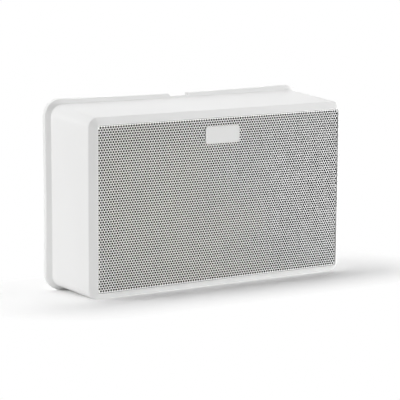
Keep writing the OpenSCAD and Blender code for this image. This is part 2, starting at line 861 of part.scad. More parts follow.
// Thermal fuse between the block and the transformer, with its two leads
fuse_x0 = -50;
fuse_x1 = -38;
fuse_z = 36;
fuse_r = 2.2;
lead_d = 1.8;
fuse_y = plate_y - fuse_r;

module thermal_fuse() {
    color("silver") translate([fuse_x0, fuse_y, mid_z + fuse_z]) rotate([0, 90, 0]) rotate_extrude() polygon([
        [0, 0], [fuse_r - 0.4, 0], [fuse_r, 0.4], [fuse_r, fuse_x1 - fuse_x0 - 2],
        [1, fuse_x1 - fuse_x0], [0, fuse_x1 - fuse_x0]
    ]);
}

// Leads. The block's lower mouths feed the transformer, whose bobbin flange feeds the driver's tags
block_mouth_z = block_z - block_h / 2;
wire_in = 5;
mouth_y = channel_y + channel / 2 + 0.4;
bobbin_top_z = core_z + flange_z;
tag_end_y = frame_y - strip_z - strip_t - tag_t / 2;

module supply_lead_live() {
    x = block_x - pole_pitch;
    color("saddlebrown") lead([
        [x, mouth_y, block_mouth_z + wire_in], [x, mouth_y, block_mouth_z],
        [x - 5, mouth_y + 2, block_mouth_z - 5],
        [-20, fuse_y - 1, fuse_z - 3], [fuse_x1 + 6, fuse_y, fuse_z], [fuse_x1 - 0.1, fuse_y, fuse_z]
    ], lead_d, [0, 1, 0.2]);
}

module supply_lead_fused() {
    color("saddlebrown") lead([
        [fuse_x0 + 0.1, fuse_y, fuse_z], [fuse_x0 - 6, fuse_y, fuse_z], [-68, fuse_y - 6, fuse_z - 6],
        [core_x + 8, core_front_y + 16, bobbin_top_z + 9], [core_x + 8, core_front_y + 12, bobbin_top_z + 4],
        [core_x + 8, bobbin_y0 + 0.5, bobbin_top_z + 3.4], [core_x + 8, bobbin_y0 + 0.5, bobbin_top_z - 0.1]
    ], lead_d, [0, 1, 0.2]);
}

module supply_lead_return() {
    x = block_x + pole_pitch;
    color("royalblue") lead([
        [x, mouth_y, block_mouth_z + wire_in], [x, mouth_y, block_mouth_z],
        [x - 8, mouth_y + 4, block_mouth_z - 12],
        [-8, plate_y - 1.4, 16], [-40, plate_y - 1.4, 18], [-66, plate_y - 6, 20],
        [core_x - 8, core_front_y + 20, bobbin_top_z + 10], [core_x - 8, core_front_y + 13, bobbin_top_z + 5],
        [core_x - 8, bobbin_y0 + 0.5, bobbin_top_z + 3.4], [core_x - 8, bobbin_y0 + 0.5, bobbin_top_z - 0.1]
    ], lead_d, [0, 1, 0.3]);
}

module driver_lead_plus() {
    color("firebrick") lead([
        [-tag_end + 0.1, tag_end_y, tag_x], [-tag_end - 5, tag_end_y, tag_x],
        [-66, tag_end_y + 2, tag_x + 16],
        [core_x + 4, tag_end_y + 6, tag_x + 22], [core_x, core_front_y + 2, bobbin_top_z + 9],
        [core_x, bobbin_y0 + 0.5, bobbin_top_z + 5], [core_x, bobbin_y0 + 0.5, bobbin_top_z - 0.1]
    ], lead_d, [0.2, 1, 0.1]);
}

module driver_lead_minus() {
    low_z = core_z - flange_z;
    color("black") lead([
        [-tag_end + 0.1, tag_end_y, -tag_x], [-tag_end - 5, tag_end_y, -tag_x],
        [-66, tag_end_y + 2, -tag_x - 18],
        [core_x + 4, tag_end_y + 6, -tag_x - 30], [core_x, core_front_y + 2, low_z - 9],
        [core_x, bobbin_y0 + 0.5, low_z - 5], [core_x, bobbin_y0 + 0.5, low_z + 0.1]
    ], lead_d, [0.2, 1, 0.1]);
}

cabinet();
grille();
grille_cloth();
badge();
wall_plate();
cable_grommet();
cabinet_screws();
driver_basket();
driver_gasket();
driver_screws();
top_plate();
magnet();
pole_yoke();
terminal_strip();
solder_tags();
surround();
spider();
tinsel_leads();
cone();
whizzer_cone();
dust_cap();
coil_former();
voice_coil();
transformer_core();
transformer_bobbin();
transformer_winding();
transformer_strap();
transformer_screws();
terminal_block();
terminal_clamps();
terminal_screws();
block_screws();
thermal_fuse();
supply_lead_live();
supply_lead_fused();
supply_lead_return();
driver_lead_plus();
driver_lead_minus();
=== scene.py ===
"""Wall-mounted cabinet loudspeaker: its looks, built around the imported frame."""
import math

import bmesh
import bpy
import numpy as np
from bpy.props import FloatProperty, FloatVectorProperty, PointerProperty
from mathutils import Matrix, Vector, geometry


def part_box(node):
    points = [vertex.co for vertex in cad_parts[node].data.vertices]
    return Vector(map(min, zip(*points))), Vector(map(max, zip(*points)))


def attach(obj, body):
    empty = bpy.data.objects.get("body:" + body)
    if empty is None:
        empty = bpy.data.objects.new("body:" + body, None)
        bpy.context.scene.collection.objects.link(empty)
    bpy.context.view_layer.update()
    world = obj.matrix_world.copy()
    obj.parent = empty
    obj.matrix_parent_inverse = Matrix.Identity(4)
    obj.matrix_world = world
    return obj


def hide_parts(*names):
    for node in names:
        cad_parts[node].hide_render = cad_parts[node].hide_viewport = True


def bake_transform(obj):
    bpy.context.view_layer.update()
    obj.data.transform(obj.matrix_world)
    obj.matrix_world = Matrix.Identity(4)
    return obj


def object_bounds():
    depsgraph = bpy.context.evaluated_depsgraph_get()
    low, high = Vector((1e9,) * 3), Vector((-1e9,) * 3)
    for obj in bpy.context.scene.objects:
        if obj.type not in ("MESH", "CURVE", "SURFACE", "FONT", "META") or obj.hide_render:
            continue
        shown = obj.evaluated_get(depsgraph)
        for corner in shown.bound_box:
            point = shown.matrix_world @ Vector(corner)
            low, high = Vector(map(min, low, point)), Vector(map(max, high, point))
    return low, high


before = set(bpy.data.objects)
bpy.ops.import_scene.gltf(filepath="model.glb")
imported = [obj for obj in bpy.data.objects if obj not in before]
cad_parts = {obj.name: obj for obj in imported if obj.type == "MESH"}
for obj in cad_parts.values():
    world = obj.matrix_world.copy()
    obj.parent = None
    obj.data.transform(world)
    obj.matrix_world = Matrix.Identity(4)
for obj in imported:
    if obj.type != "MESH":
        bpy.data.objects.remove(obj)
CAD_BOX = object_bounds()

bl_info = {
    "name": "Cabinet Loudspeaker",
    "version": (1, 0, 0),
    "blender": (4, 5, 0),
    "location": "3D View > Sidebar > Loudspeaker",
    "description": "Builds a wall-mounted cabinet loudspeaker with its perforated grille, driver and studio",
    "category": "Add Mesh",
}

MM = 0.001
FRONT_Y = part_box("cabinet")[0].y
WALL_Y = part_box("cabinet")[1].y
MID_Z = (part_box("cabinet")[0].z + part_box("cabinet")[1].z) / 2
GRILLE_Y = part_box("grille")[0].y
LEDGE_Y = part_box("grille_cloth")[1].y
SENSOR_MM = 36.0
SHELF_BODY = "enclosure"


def length(name, text, millimetres, least=0.0):
    """A size in metres, with its default and its least value given in millimetres."""
    return FloatProperty(name=name, description=text, default=millimetres * MM, min=least * MM, precision=5,
                         subtype="DISTANCE", unit="LENGTH")


def angle(name, text, degrees):
    """An angle, with its default given in degrees."""
    return FloatProperty(name=name, description=text, default=math.radians(degrees), subtype="ANGLE",
                         unit="ROTATION")


def colour(name, text, value):
    """A linear colour."""
    return FloatVectorProperty(name=name, description=text, default=value, min=0.0, max=1.0, size=3,
                               subtype="COLOR")


def share(name, text, value, most=1.0):
    """A number without a unit, from none to the most it may be."""
    return FloatProperty(name=name, description=text, default=value, min=0.0, max=most, subtype="FACTOR")


def lamp_power(side, text, watts):
    """A lamp's power; side and text name the lamp."""
    return FloatProperty(name=side + " lamp", description="Power of the " + text, default=watts, min=0.0,
                         subtype="POWER", unit="POWER")


# Sizes and colours


class CabinetSizes(bpy.types.PropertyGroup):
    """Sizes of the moulded cabinet."""

    opening_w: length("Opening width", "Width of the opening that holds the grille", 248)
    opening_h: length("Opening height", "Height of the opening that holds the grille", 147)
    opening_corner: length("Opening corner", "Corner radius of the opening", 2.3)
    rim: length("Rim", "Flat rim between the opening and the bevel", 0.4)
    bevel: length("Bevel", "Width and depth of the bevel round the front", 6.2)
    front_corner: length("Front corner", "Corner radius behind the bevel", 8.5)
    back_corner: length("Back corner", "Corner radius where the flange begins", 12)
    lean_side: length("Side lean", "How much each side wall leans out towards the back", 0.3)
    lean_top: length("Top lean", "How much the top and bottom walls lean out towards the back", 3.7)
    wall: length("Wall", "Thickness of the walls", 2.6)
    lip_side: length("Side lip", "How far the flange stands out at the sides", 4)
    lip_top: length("Top lip", "How far the flange stands out above and below", 3.7)
    lip_edge: length("Flange edge", "Depth of the flange's outer edge", 4.8)
    lip_round: length("Flange rounding", "Rounding of the flange's front edge", 0.5)
    flare: length("Flare", "Depth of the slope from the walls out to the flange", 4.8)
    dip_long: length("Long dip", "How much the flange's long edges dip in the middle", 1.5)
    dip_short: length("Short dip", "How much the flange's short edges dip in the middle", 0.6)
    wall_dip: share("Wall dip", "Share of the dips that the walls have where the flange begins", 0.6)
    ledge: length("Ledge", "Width of the ledge that the grille rests on", 4)
    baffle_gap: length("Baffle gap", "Room between the ledge and the baffle", 5.9)
    driver_hole: length("Driver hole", "Radius of the driver's hole in the baffle", 47.9)
    notch_w: length("Notch width", "Width of the cable notch at the top of the flange", 19.6)
    notch_x: length("Notch place", "Middle of the cable notch, to the right of the middle", 1.5)
    notch_sill: length("Notch sill", "Height of the notch's sill above the wall", 1.4)
    notch_deep: length("Deep notch", "Depth of the part of the notch that goes through the wall", 7)
    bevel_round: length("Bevel rounding", "Rounding of the edge between the bevel and the walls", 0.35)


class GrilleSizes(bpy.types.PropertyGroup):
    """Sizes of the perforated sheet, its cloth and the badge."""

    gap: length("Gap", "Gap between the sheet and the opening", 0.45)
    pitch: length("Pitch", "Distance between the middles of neighbouring holes", 2.5)
    across: length("Hole width", "Width of a hole across its flats", 1.95)
    thick: length("Thickness", "Thickness of the sheet", 1)
    edge: length("Edge", "Width of the plain metal left outside the outermost holes", 0.2)
    cloth_gap: length("Cloth gap", "Gap between the cloth and the opening", 0.1)
    cloth_t: length("Cloth thickness", "Thickness of the cloth", 0.25)
    badge_w: length("Badge width", "Width of the badge", 35)
    badge_h: length("Badge height", "Height of the badge", 15.4)
    badge_z: length("Badge place", "Middle of the badge above the middle of the grille", 57.8)
    badge_corner: length("Badge corner", "Corner radius of the badge", 2.2)
    badge_border: length("Badge border", "Width of the border round the badge's bare field", 1.5)
    badge_recess: length("Badge recess", "Depth of the badge's bare field", 0.25)


class DriverSizes(bpy.types.PropertyGroup):
    """Sizes of the driver's flexible parts, about the driver's axis."""

    frame_y: length("Frame place", "Where the driver's frame is along the depth", -31.9, least=-1000)
    neck: length("Neck", "Radius of the coil former's outside", 10.2)
    shelf: length("Shelf", "Radius of the shelf that the spider is glued to", 24.5)
    shelf_depth: length("Shelf depth", "Distance of the shelf behind the frame", 21)
    cone_edge: length("Cone edge", "Radius where the cone's paper begins to turn flat", 37)
    cone_lip: length("Cone lip", "Outer radius of the cone's flat lip", 39.4)
    roll: length("Roll", "Radius of the surround's roll", 2.5)
    seat: length("Seat", "Outer radius of the surround", 47.5)
    tag_gap: length("Tag gap", "Distance of each lead from the middle", 5.5)


class StudioSettings(bpy.types.PropertyGroup):
    """The camera, the floor and the lights."""

    azimuth: angle("Azimuth", "Camera to the left of the front", 30.311)
    pitch: angle("Pitch", "How far the camera looks down", 10.270)
    roll: angle("Roll", "Turn of the picture about its middle", 0.406)
    lens: FloatProperty(name="Lens", description="Focal length on a 36 mm sensor", default=159.64,
                        subtype="DISTANCE_CAMERA")
    distance: length("Distance", "From the camera to the grille, along the view", 1583.94)
    right: length("Right", "How far the grille's middle lies to the right in the view", 19.443)
    up: length("Up", "How far the grille's middle lies above the middle of the view", 1.253)
    world: share("World", "Strength of the even light from all round", 0.03, 4.0)
    left_lamp: lamp_power("Left", "soft lamp behind the left", 17.6)
    right_lamp: lamp_power("Right", "soft lamp behind the right", 4.6)
    low_lamp: lamp_power("Low", "low soft lamp in front of the right", 11.4)
    front_lamp: lamp_power("Front", "low strip lamp in front", 13.6)
    top_lamp: lamp_power("Top", "soft lamp overhead", 5.2)
    back_lamp: lamp_power("Back", "soft lamp high up behind", 6.0)
    wall_lamp: lamp_power("Wall", "wide lamp behind the back", 4.1)
    floor_gain: share("Floor gain",
                      "How much brighter the floor is seen than it is, as in a white studio", 1.3, 4.0)
    shadow_near: length("Shadow start", "Distance from the object where the floor begins to turn white", 25)
    shadow_far: length("Shadow end", "Distance from the object where the floor is all white", 95)


class Finishes(bpy.types.PropertyGroup):
    """Colours of the outer finishes."""

    shell: colour("Shell", "Moulded plastic of the cabinet", (0.86, 0.86, 0.855))
    grille: colour("Grille", "Paint on the perforated sheet", (0.95, 0.95, 0.945))
    # A near-black colour painted on the walls of the grille's holes, standing in for the shade deep inside
    # them
    painted_hole_shade: colour("Painted hole shade", "Near-black painted shade on the walls of the grille's holes", (0.03, 0.03, 0.031))
    badge: colour("Badge", "Paint on the badge", (0.66, 0.66, 0.655))
    cloth: colour("Cloth", "Acoustic cloth behind the grille", (0.007, 0.007, 0.0075))
    back: colour("Back", "Moulded plastic of the wall plate", (0.74, 0.74, 0.73))
    paper: colour("Paper", "Pressed paper of the cone", (0.05, 0.05, 0.055))
    floor: colour("Floor", "The pale floor", (0.93, 0.93, 0.93))


# Outlines and skins

SIDES = ((1, 1), (-1, 1), (-1, -1), (1, -1))  # signs of the four corners, anticlockwise
INWARD = ((0, -1), (1, 0), (0, 1), (-1, 0))  # the way inwards from the side that follows each corner
EASE_MOST, HOLD_MOST = 0.42, 0.48  # shares of the way to the next ring that rounding and its hold may take
TINY = 1e-7  # points nearer than this are one


def outline(half_w, half_h, corner, dips=(0.0, 0.0), corner_steps=14, side_steps=(28, 18)):
    """Rounded rectangle, anticlockwise; dips pull in the middles of its long and short sides."""
    arcs = []
    for quarter, (sx, sz) in enumerate(SIDES):
        angles = [math.radians(90 * (quarter + i / corner_steps)) for i in range(corner_steps + 1)]
        arcs.append([
            (sx * (half_w - corner) + corner * math.cos(a), sz * (half_h - corner) + corner * math.sin(a))
            for a in angles
        ])
    points = []
    for quarter, arc in enumerate(arcs):
        points += arc
        start, end = np.array(arc[-1]), np.array(arcs[(quarter + 1) % 4][0])
        steps, dip = side_steps[quarter % 2], dips[quarter % 2]
        for i in range(1, steps):
            s = i / steps
            pull = np.array(INWARD[quarter]) * dip * (1 - (2 * s - 1) ** 2)
            points.append(tuple(start * (1 - s) + end * s + pull))
    return np.array(points)


def ring(flat, depth, height=None):
    """An outline put at a place along the depth."""
    middle = MID_Z if height is None else height
    return np.column_stack([flat[:, 0], np.full(len(flat), depth), flat[:, 1] + middle])


def eased(edges, steps=4, hold=0.0003, closed=True):
    """Rings that round each edge and hold it on both sides; edges are pairs of a ring and its rounding."""
    rings, made = [edge[0] for edge in edges], []
    count = len(rings)
    for i, (middle, ease) in enumerate(edges):
        if ease <= 0 or (not closed and i in (0, count - 1)):
            made.append(middle)
            continue
        before, after = rings[i - 1], rings[(i + 1) % count]
        ways = []
        for other in (before, after):
            way = other - middle
            far = np.linalg.norm(way, axis=1, keepdims=True)
            reach = np.minimum(ease, EASE_MOST * far)
            held = np.minimum(ease + hold, HOLD_MOST * far)
            unit = way / np.maximum(far, 1e-9)
            ways.append((middle + unit * reach, middle + unit * held))
        (start, start_held), (end, end_held) = ways
        made.append(start_held)
        for k in range(steps + 1):
            t = k / steps
            made.append((1 - t) ** 2 * start + 2 * t * (1 - t) * middle + t * t * end)
        made.append(end_held)
    return made


def skin(name, rings, closed=False, capped=False):
    """Mesh object through rings that all have the same number of points."""
    around = len(rings[0])
    points = [tuple(p) for r in rings for p in r]
    faces = []
    for k in range(len(rings) if closed else len(rings) - 1):
        a, b = k * around, (k + 1) % len(rings) * around
        faces += [(a + i, a + (i + 1) % around, b + (i + 1) % around, b + i) for i in range(around)]
    if capped:
        last = (len(rings) - 1) * around
        faces.append(tuple(range(around - 1, -1, -1)))
        faces.append(tuple(range(last, last + around)))
    return solid(name, points, faces)


def placed(name, data):
    """A new object in the scene."""
    made = bpy.data.objects.new(name, data)
    bpy.context.scene.collection.objects.link(made)
    return made


def solid(name, points, faces):
    """Mesh object with its faces turned outwards."""
    mesh = bpy.data.meshes.new(name)
    mesh.from_pydata(points, [], faces)
    work = bmesh.new()
    work.from_mesh(mesh)
    bmesh.ops.remove_doubles(work, verts=work.verts, dist=TINY)
    bmesh.ops.recalc_face_normals(work, faces=work.faces)
    work.to_mesh(mesh)
    work.free()
    return placed(name, mesh)


def block(low, high):
    """Points and faces of a box between two corners."""
    points = [(x, y, z) for x in (low[0], high[0]) for y in (low[1], high[1]) for z in (low[2], high[2])]
    faces = [(0, 1, 3, 2), (4, 6, 7, 5), (0, 4, 5, 1), (2, 3, 7, 6), (0, 2, 6, 4), (1, 5, 7, 3)]
    return points, faces


def rod(centre, axis, radius, start, end, sides=48):
    """Points and faces of a cylinder along the Y or Z axis, from start to end."""
    points = []
    for place in (start, end):
        for i in range(sides):
            u, v = radius * math.cos(math.tau * i / sides), radius * math.sin(math.tau * i / sides)
            x, other = centre[0] + u, centre[1] + v
            points.append((x, place, other) if axis == "Y" else (x, other, place))
    faces = [(i, (i + 1) % sides, sides + (i + 1) % sides, sides + i) for i in range(sides)]
    faces += [tuple(range(sides - 1, -1, -1)), tuple(range(sides, 2 * sides))]
    return points, faces


def joined(name, shapes):
    """One mesh object from several lots of points and faces."""
    points, faces = [], []
    for some_points, some_faces in shapes:
        faces += [tuple(i + len(points) for i in face) for face in some_faces]
        points += some_points
    return solid(name, points, faces)


def cut_with(piece, tool, operation):
    """Applies a boolean to the piece and removes the tool."""
    change = piece.modifiers.new("Cut", "BOOLEAN")
    change.operation = operation
    change.object = tool
    change.solver = "EXACT"
    change.use_self = True
    bake_modifiers(piece)
    bpy.data.objects.remove(tool)


def bake_modifiers(piece):
    """Turns the piece's modifiers into its mesh."""
    seen = piece.evaluated_get(bpy.context.evaluated_depsgraph_get())
    mesh = bpy.data.meshes.new_from_object(seen)
    mesh.name = piece.name
    piece.modifiers.clear()
    old, piece.data = piece.data, mesh
    bpy.data.meshes.remove(old)


def smooth(piece, sharp_degrees=30.0):
    """Smooth shading that keeps edges sharper than the given angle."""
    piece.data.shade_smooth()
    piece.data.set_sharp_from_angle(angle=math.radians(sharp_degrees))


def turned(name, profile, driver, segments=120):
    """Mesh object turned about the driver's axis; its profile holds radii and places towards the front."""
    angles = [math.tau * i / segments for i in range(segments)]
    rings = [[(radius * math.cos(a), driver.frame_y - front, MID_Z + radius * math.sin(a)) for a in angles]
             for radius, front in profile]
    return skin(name, rings, closed=True)


def tube(name, path, radius, sides=14, twist=0.0, strands=0.0):
    """Mesh object along a path, round or with a few twisted strands."""
    rings = []
    side = Vector((0, 0, 1))
    for i, point in enumerate(path):
        ahead, behind = path[min(i + 1, len(path) - 1)], path[max(i - 1, 0)]
        along = (Vector(ahead) - Vector(behind)).normalized()
        side = (side - along * side.dot(along)).normalized()
        across = along.cross(side)
        rings.append([])
        for k in range(sides):
            a = math.tau * k / sides
            r = radius * (1 - strands + strands * abs(math.cos(1.5 * (a + twist * i))))
            rings[-1].append(Vector(point) + side * (r * math.cos(a)) + across * (r * math.sin(a)))
    return skin(name, rings, capped=True)


def flowing(points, steps=10):
    """Points of a smooth curve through the given ones."""
    held = [2 * Vector(points[0]) - Vector(points[1])] + [Vector(p) for p in points]
    held.append(2 * Vector(points[-1]) - Vector(points[-2]))
    made = []
    for a, b, c, d in zip(held, held[1:], held[2:], held[3:]):
        for i in range(steps):
            t = i / steps
            made.append(0.5 * (2 * b + (c - a) * t + (2 * a - 5 * b + 4 * c - d) * t * t
                               + (3 * b - a - 3 * c + d) * t ** 3))
    return made + [held[-2]]


# Shader node groups


def group_of(name, *inputs):
    """Empty shader node group with the named inputs and the three results, and its inputs' sockets."""
    group = bpy.data.node_groups.new(name, "ShaderNodeTree")
    for way, labels in (("INPUT", inputs), ("OUTPUT", ("Colour", "Roughness", "Height"))):
        for label in labels:
            kind = "Color" if "Colour" in label else "Vector" if label in ("Axis", "Stretch") else "Float"
            group.interface.new_socket(name=label, in_out=way, socket_type="NodeSocket" + kind)
    return group, group.nodes.new("NodeGroupInput").outputs


def node(tree, kind, inputs=None, **settings):
    """A node with its settings; inputs maps a socket to a value or to another node's socket."""
    made = tree.nodes.new(kind)
    for key, value in settings.items():
        setattr(made, key, value)
    for key, value in (inputs or {}).items():
        if isinstance(value, bpy.types.NodeSocket):
            tree.links.new(value, made.inputs[key])
        else:
            made.inputs[key].default_value = value
    return made


def maths(tree, operation, a, b=0.0):
    """A Math node's output."""
    return node(tree, "ShaderNodeMath", {0: a, 1: b}, operation=operation).outputs[0]


def added(tree, a, a_share, b, b_share):
    """Two values times their shares, added up."""
    return maths(tree, "ADD", maths(tree, "MULTIPLY", a, a_share), maths(tree, "MULTIPLY", b, b_share))


def mixed(tree, factor, a, b):
    """A colour mix's output."""
    return node(tree, "ShaderNodeMix", {0: factor, 6: a, 7: b}, data_type="RGBA").outputs[2]


def noise(tree, vector, scale, detail=2.0):
    """A noise texture's value."""
    return node(tree, "ShaderNodeTexNoise", {"Vector": vector, "Scale": scale, "Detail": detail}).outputs[0]


def spread(tree, value, low, high, to_low=0.0, to_high=1.0):
    """A value mapped from one range to another, and kept in it."""
    return node(tree, "ShaderNodeMapRange", {0: value, 1: low, 2: high, 3: to_low, 4: to_high}).outputs[0]


def object_place(tree):
    """Coordinates of the object's own space, in metres."""
    return tree.nodes.new("ShaderNodeTexCoord").outputs["Object"]


WHITE = (1.0, 1.0, 1.0, 1.0)


def ended(group, colour_socket, roughness, height):
    """The group with its three results linked."""
    node(group, "NodeGroupOutput", {"Colour": colour_socket, "Roughness": roughness, "Height": height})
    return group


def unevenly_ended(group, given, blend, height):
    """The group, ended with its two colours and its roughness varied by the blend."""
    change = maths(group, "MULTIPLY", maths(group, "SUBTRACT", blend, 0.5), given["Roughness Spread"])
    return ended(group, mixed(group, blend, given["Colour"], given["Second Colour"]),
                 maths(group, "ADD", given["Roughness"], change), height)


def grain_group(name):
    """Uneven colour and gloss with a fine grain, for mouldings, paint, paper and cast metal."""
    group, given = group_of(name, "Colour", "Second Colour", "Patch Scale", "Grain Scale", "Roughness",
                            "Roughness Spread")
    place = object_place(group)
    patch = spread(group, noise(group, place, given["Patch Scale"], 4.0), 0.3, 0.7)
    grain = noise(group, place, given["Grain Scale"], 3.0)
    return unevenly_ended(group, given, added(group, patch, 0.7, grain, 0.3), grain)


def brushed_group(name):
    """Fine streaks along one direction, for plated and rolled metal."""
    group, given = group_of(name, "Colour", "Second Colour", "Stretch", "Roughness", "Roughness Spread")
    place = object_place(group)
    drawn = node(group, "ShaderNodeVectorMath", {0: place, 1: given["Stretch"]}, operation="MULTIPLY")
    streak = noise(group, drawn.outputs[0], 1.0, 3.0)
    stain = spread(group, noise(group, place, 90.0, 3.0), 0.35, 0.7)
    return unevenly_ended(group, given, added(group, streak, 0.5, stain, 0.5), streak)


def woven_group(name):
    """Plain weave of two threads, for the acoustic cloth and the spider."""
    group, given = group_of(name, "Colour", "Second Colour", "Thread Pitch")
    place = object_place(group)
    axes = node(group, "ShaderNodeSeparateXYZ", {0: place}).outputs
    turns = maths(group, "DIVIDE", math.pi, given["Thread Pitch"])
    waves = [maths(group, "SINE", maths(group, "MULTIPLY", axes[i], turns)) for i in (0, 2)]
    ribs = [maths(group, "ABSOLUTE", wave) for wave in waves]
    over = maths(group, "MULTIPLY", waves[0], waves[1])
    crossing = maths(group, "MULTIPLY", ribs[0], ribs[1])
    weave = maths(group, "ADD", crossing, maths(group, "MULTIPLY", over, 0.5))
    height = maths(group, "ADD", weave, maths(group, "MULTIPLY", noise(group, place, 700.0, 2.0), 0.3))
    tone = mixed(group, spread(group, height, 0.0, 1.4), given["Colour"], given["Second Colour"])
    return ended(group, tone, spread(group, height, 0.0, 1.4, 0.95, 0.75), height)


def bands_group(name):
    """Even bands along one direction, for wound wire and stacked sheets."""
    group, given = group_of(name, "Colour", "Gap Colour", "Axis", "Pitch", "Roughness")
    place = object_place(group)
    along = node(group, "ShaderNodeVectorMath", {0: place, 1: given["Axis"]}, operation="DOT_PRODUCT")
    turns = maths(group, "DIVIDE", math.pi, given["Pitch"])
    uneven = maths(group, "MULTIPLY", maths(group, "SUBTRACT", noise(group, place, 400.0, 2.0), 0.5), 0.6)
    phase = maths(group, "ADD", maths(group, "MULTIPLY", along.outputs["Value"], turns), uneven)
    crest = maths(group, "ABSOLUTE", maths(group, "SINE", phase))
    stain = noise(group, place, 120.0, 3.0)
    tone = maths(group, "MULTIPLY", spread(group, crest, 0.1, 0.6), spread(group, stain, 0.2, 0.7, 0.75, 1.0))
    return ended(group, mixed(group, tone, given["Gap Colour"], given["Colour"]),
                 maths(group, "ADD", given["Roughness"], maths(group, "MULTIPLY", stain, 0.12)), crest)


GROUP_MAKERS = {
    "Surface Grain": grain_group,
    "Brushed Streaks": brushed_group,
    "Woven Threads": woven_group,
    "Fine Bands": bands_group,
}


def whitened(tree, kind, share_white, shader, end):
    """Ends a tree with its shader mixed with plain white, made by a node of the given kind."""
    white = node(tree, kind, {"Color": WHITE, "Strength": 1.0})
    blend = node(tree, "ShaderNodeMixShader", {0: share_white, 1: shader.outputs[0], 2: white.outputs[0]})
    tree.links.new(blend.outputs[0], tree.nodes[end].inputs["Surface"])


def bare_material(name):
    """A new material, its node tree and its surface node."""
    material = bpy.data.materials.new(name)
    material.use_nodes = True
    return material, material.node_tree, material.node_tree.nodes["Principled BSDF"]


def finish(name, group_name, values, bump=0.15, depth=0.00002, **shader):
    """Material dressed by one node group; shader holds the constant sockets of its surface."""
    if group_name not in bpy.data.node_groups:
        GROUP_MAKERS[group_name](group_name)
    material, tree, surface = bare_material(name)
    detail = tree.nodes.new("ShaderNodeGroup")
    detail.node_tree = bpy.data.node_groups[group_name]
    for key, value in values.items():
        detail.inputs[key].default_value = (*value, 1.0) if "Colour" in key else value
    tree.links.new(detail.outputs["Colour"], surface.inputs["Base Color"])
    tree.links.new(detail.outputs["Roughness"], surface.inputs["Roughness"])
    relief = node(tree, "ShaderNodeBump",
                  {"Strength": bump, "Distance": depth, "Height": detail.outputs["Height"]})
    tree.links.new(relief.outputs[0], surface.inputs["Normal"])
    for key, value in shader.items():
        surface.inputs[key.replace("_", " ")].default_value = value
    return material


def tinted(colour_value, factor):
    """A colour made lighter or darker."""
    return tuple(min(1.0, c * factor) for c in colour_value)


def grained(name, base, patchy, patch_scale, grain_scale, roughness, uneven, **more):
    """Moulded or painted surface with soft patches and a fine grain."""
    return finish(name, "Surface Grain", {
        "Colour": base, "Second Colour": tinted(base, patchy), "Patch Scale": patch_scale,
        "Grain Scale": grain_scale, "Roughness": roughness, "Roughness Spread": uneven,
    }, **more)


def shell_finish(colours):
    """Satin moulded plastic with a very fine spark grain."""
    return grained("Moulded Cabinet", colours.shell, 0.985, 18.0, 2600.0, 0.33, 0.05, bump=0.06)


def grille_finish(colours):
    """Paint on perforated steel; the walls of the holes get a near-black painted shade, picked by which way
    their faces turn.
    """
    material = grained("Grille Paint", colours.grille, 0.95, 25.0, 3500.0, 0.42, 0.1, bump=0.1)
    tree = material.node_tree
    surface = tree.nodes["Principled BSDF"]
    paint = surface.inputs["Base Color"].links[0].from_socket
    # Painted shade: faces that don't face the front, which are the walls of the holes, get the near-black
    # colour instead of the paint
    normal = tree.nodes.new("ShaderNodeNewGeometry").outputs["True Normal"]
    facing = maths(tree, "ABSOLUTE", node(tree, "ShaderNodeSeparateXYZ", {0: normal}).outputs[1])
    tone = mixed(tree, spread(tree, facing, 0.4, 0.8), (*colours.painted_hole_shade, 1.0), paint)
    tree.links.new(tone, surface.inputs["Base Color"])
    return material


def badge_finish(colours):
    """Smooth paint on the badge."""
    return grained("Badge Paint", colours.badge, 0.97, 60.0, 5000.0, 0.3, 0.06, bump=0.04, Coat_Weight=0.2,
                   Coat_Roughness=0.15)


def woven(name, base, second, pitch, **more):
    """Woven cloth."""
    values = {"Colour": base, "Second Colour": second, "Thread Pitch": pitch}
    return finish(name, "Woven Threads", values, **more)


def cloth_finish(colours):
    """Open black weave."""
    return woven("Acoustic Cloth", tinted(colours.cloth, 0.4), tinted(colours.cloth, 1.6), 0.0005, bump=0.6,
                 depth=0.00015, Sheen_Weight=0.2)


def plated(name, base, second, roughness=0.32):
    """Plated metal with drawn streaks."""
    return finish(name, "Brushed Streaks", {
        "Colour": base, "Second Colour": second, "Stretch": (300.0, 2500.0, 5000.0), "Roughness": roughness,
        "Roughness Spread": 0.2,
    }, bump=0.08, Metallic=1.0)


def moulded(name, base, roughness=0.45, grain=2200.0, bump=0.12, patchy=0.88, **shader):
    """Moulded plastic, rubber, paper or paint, more uneven than the outer finishes."""
    return grained(name, base, patchy, 55.0, grain, roughness, 0.15, bump=bump, depth=0.00004, **shader)


def wound(name, base, gap, pitch, metallic, roughness=0.3):
    """Wound wire or stacked sheets, banded along the depth."""
    return finish(name, "Fine Bands", {
        "Colour": base, "Gap Colour": gap, "Axis": (0.0, 1.0, 0.0), "Pitch": pitch, "Roughness": roughness,
    }, bump=0.7, depth=pitch / 4, Metallic=metallic)


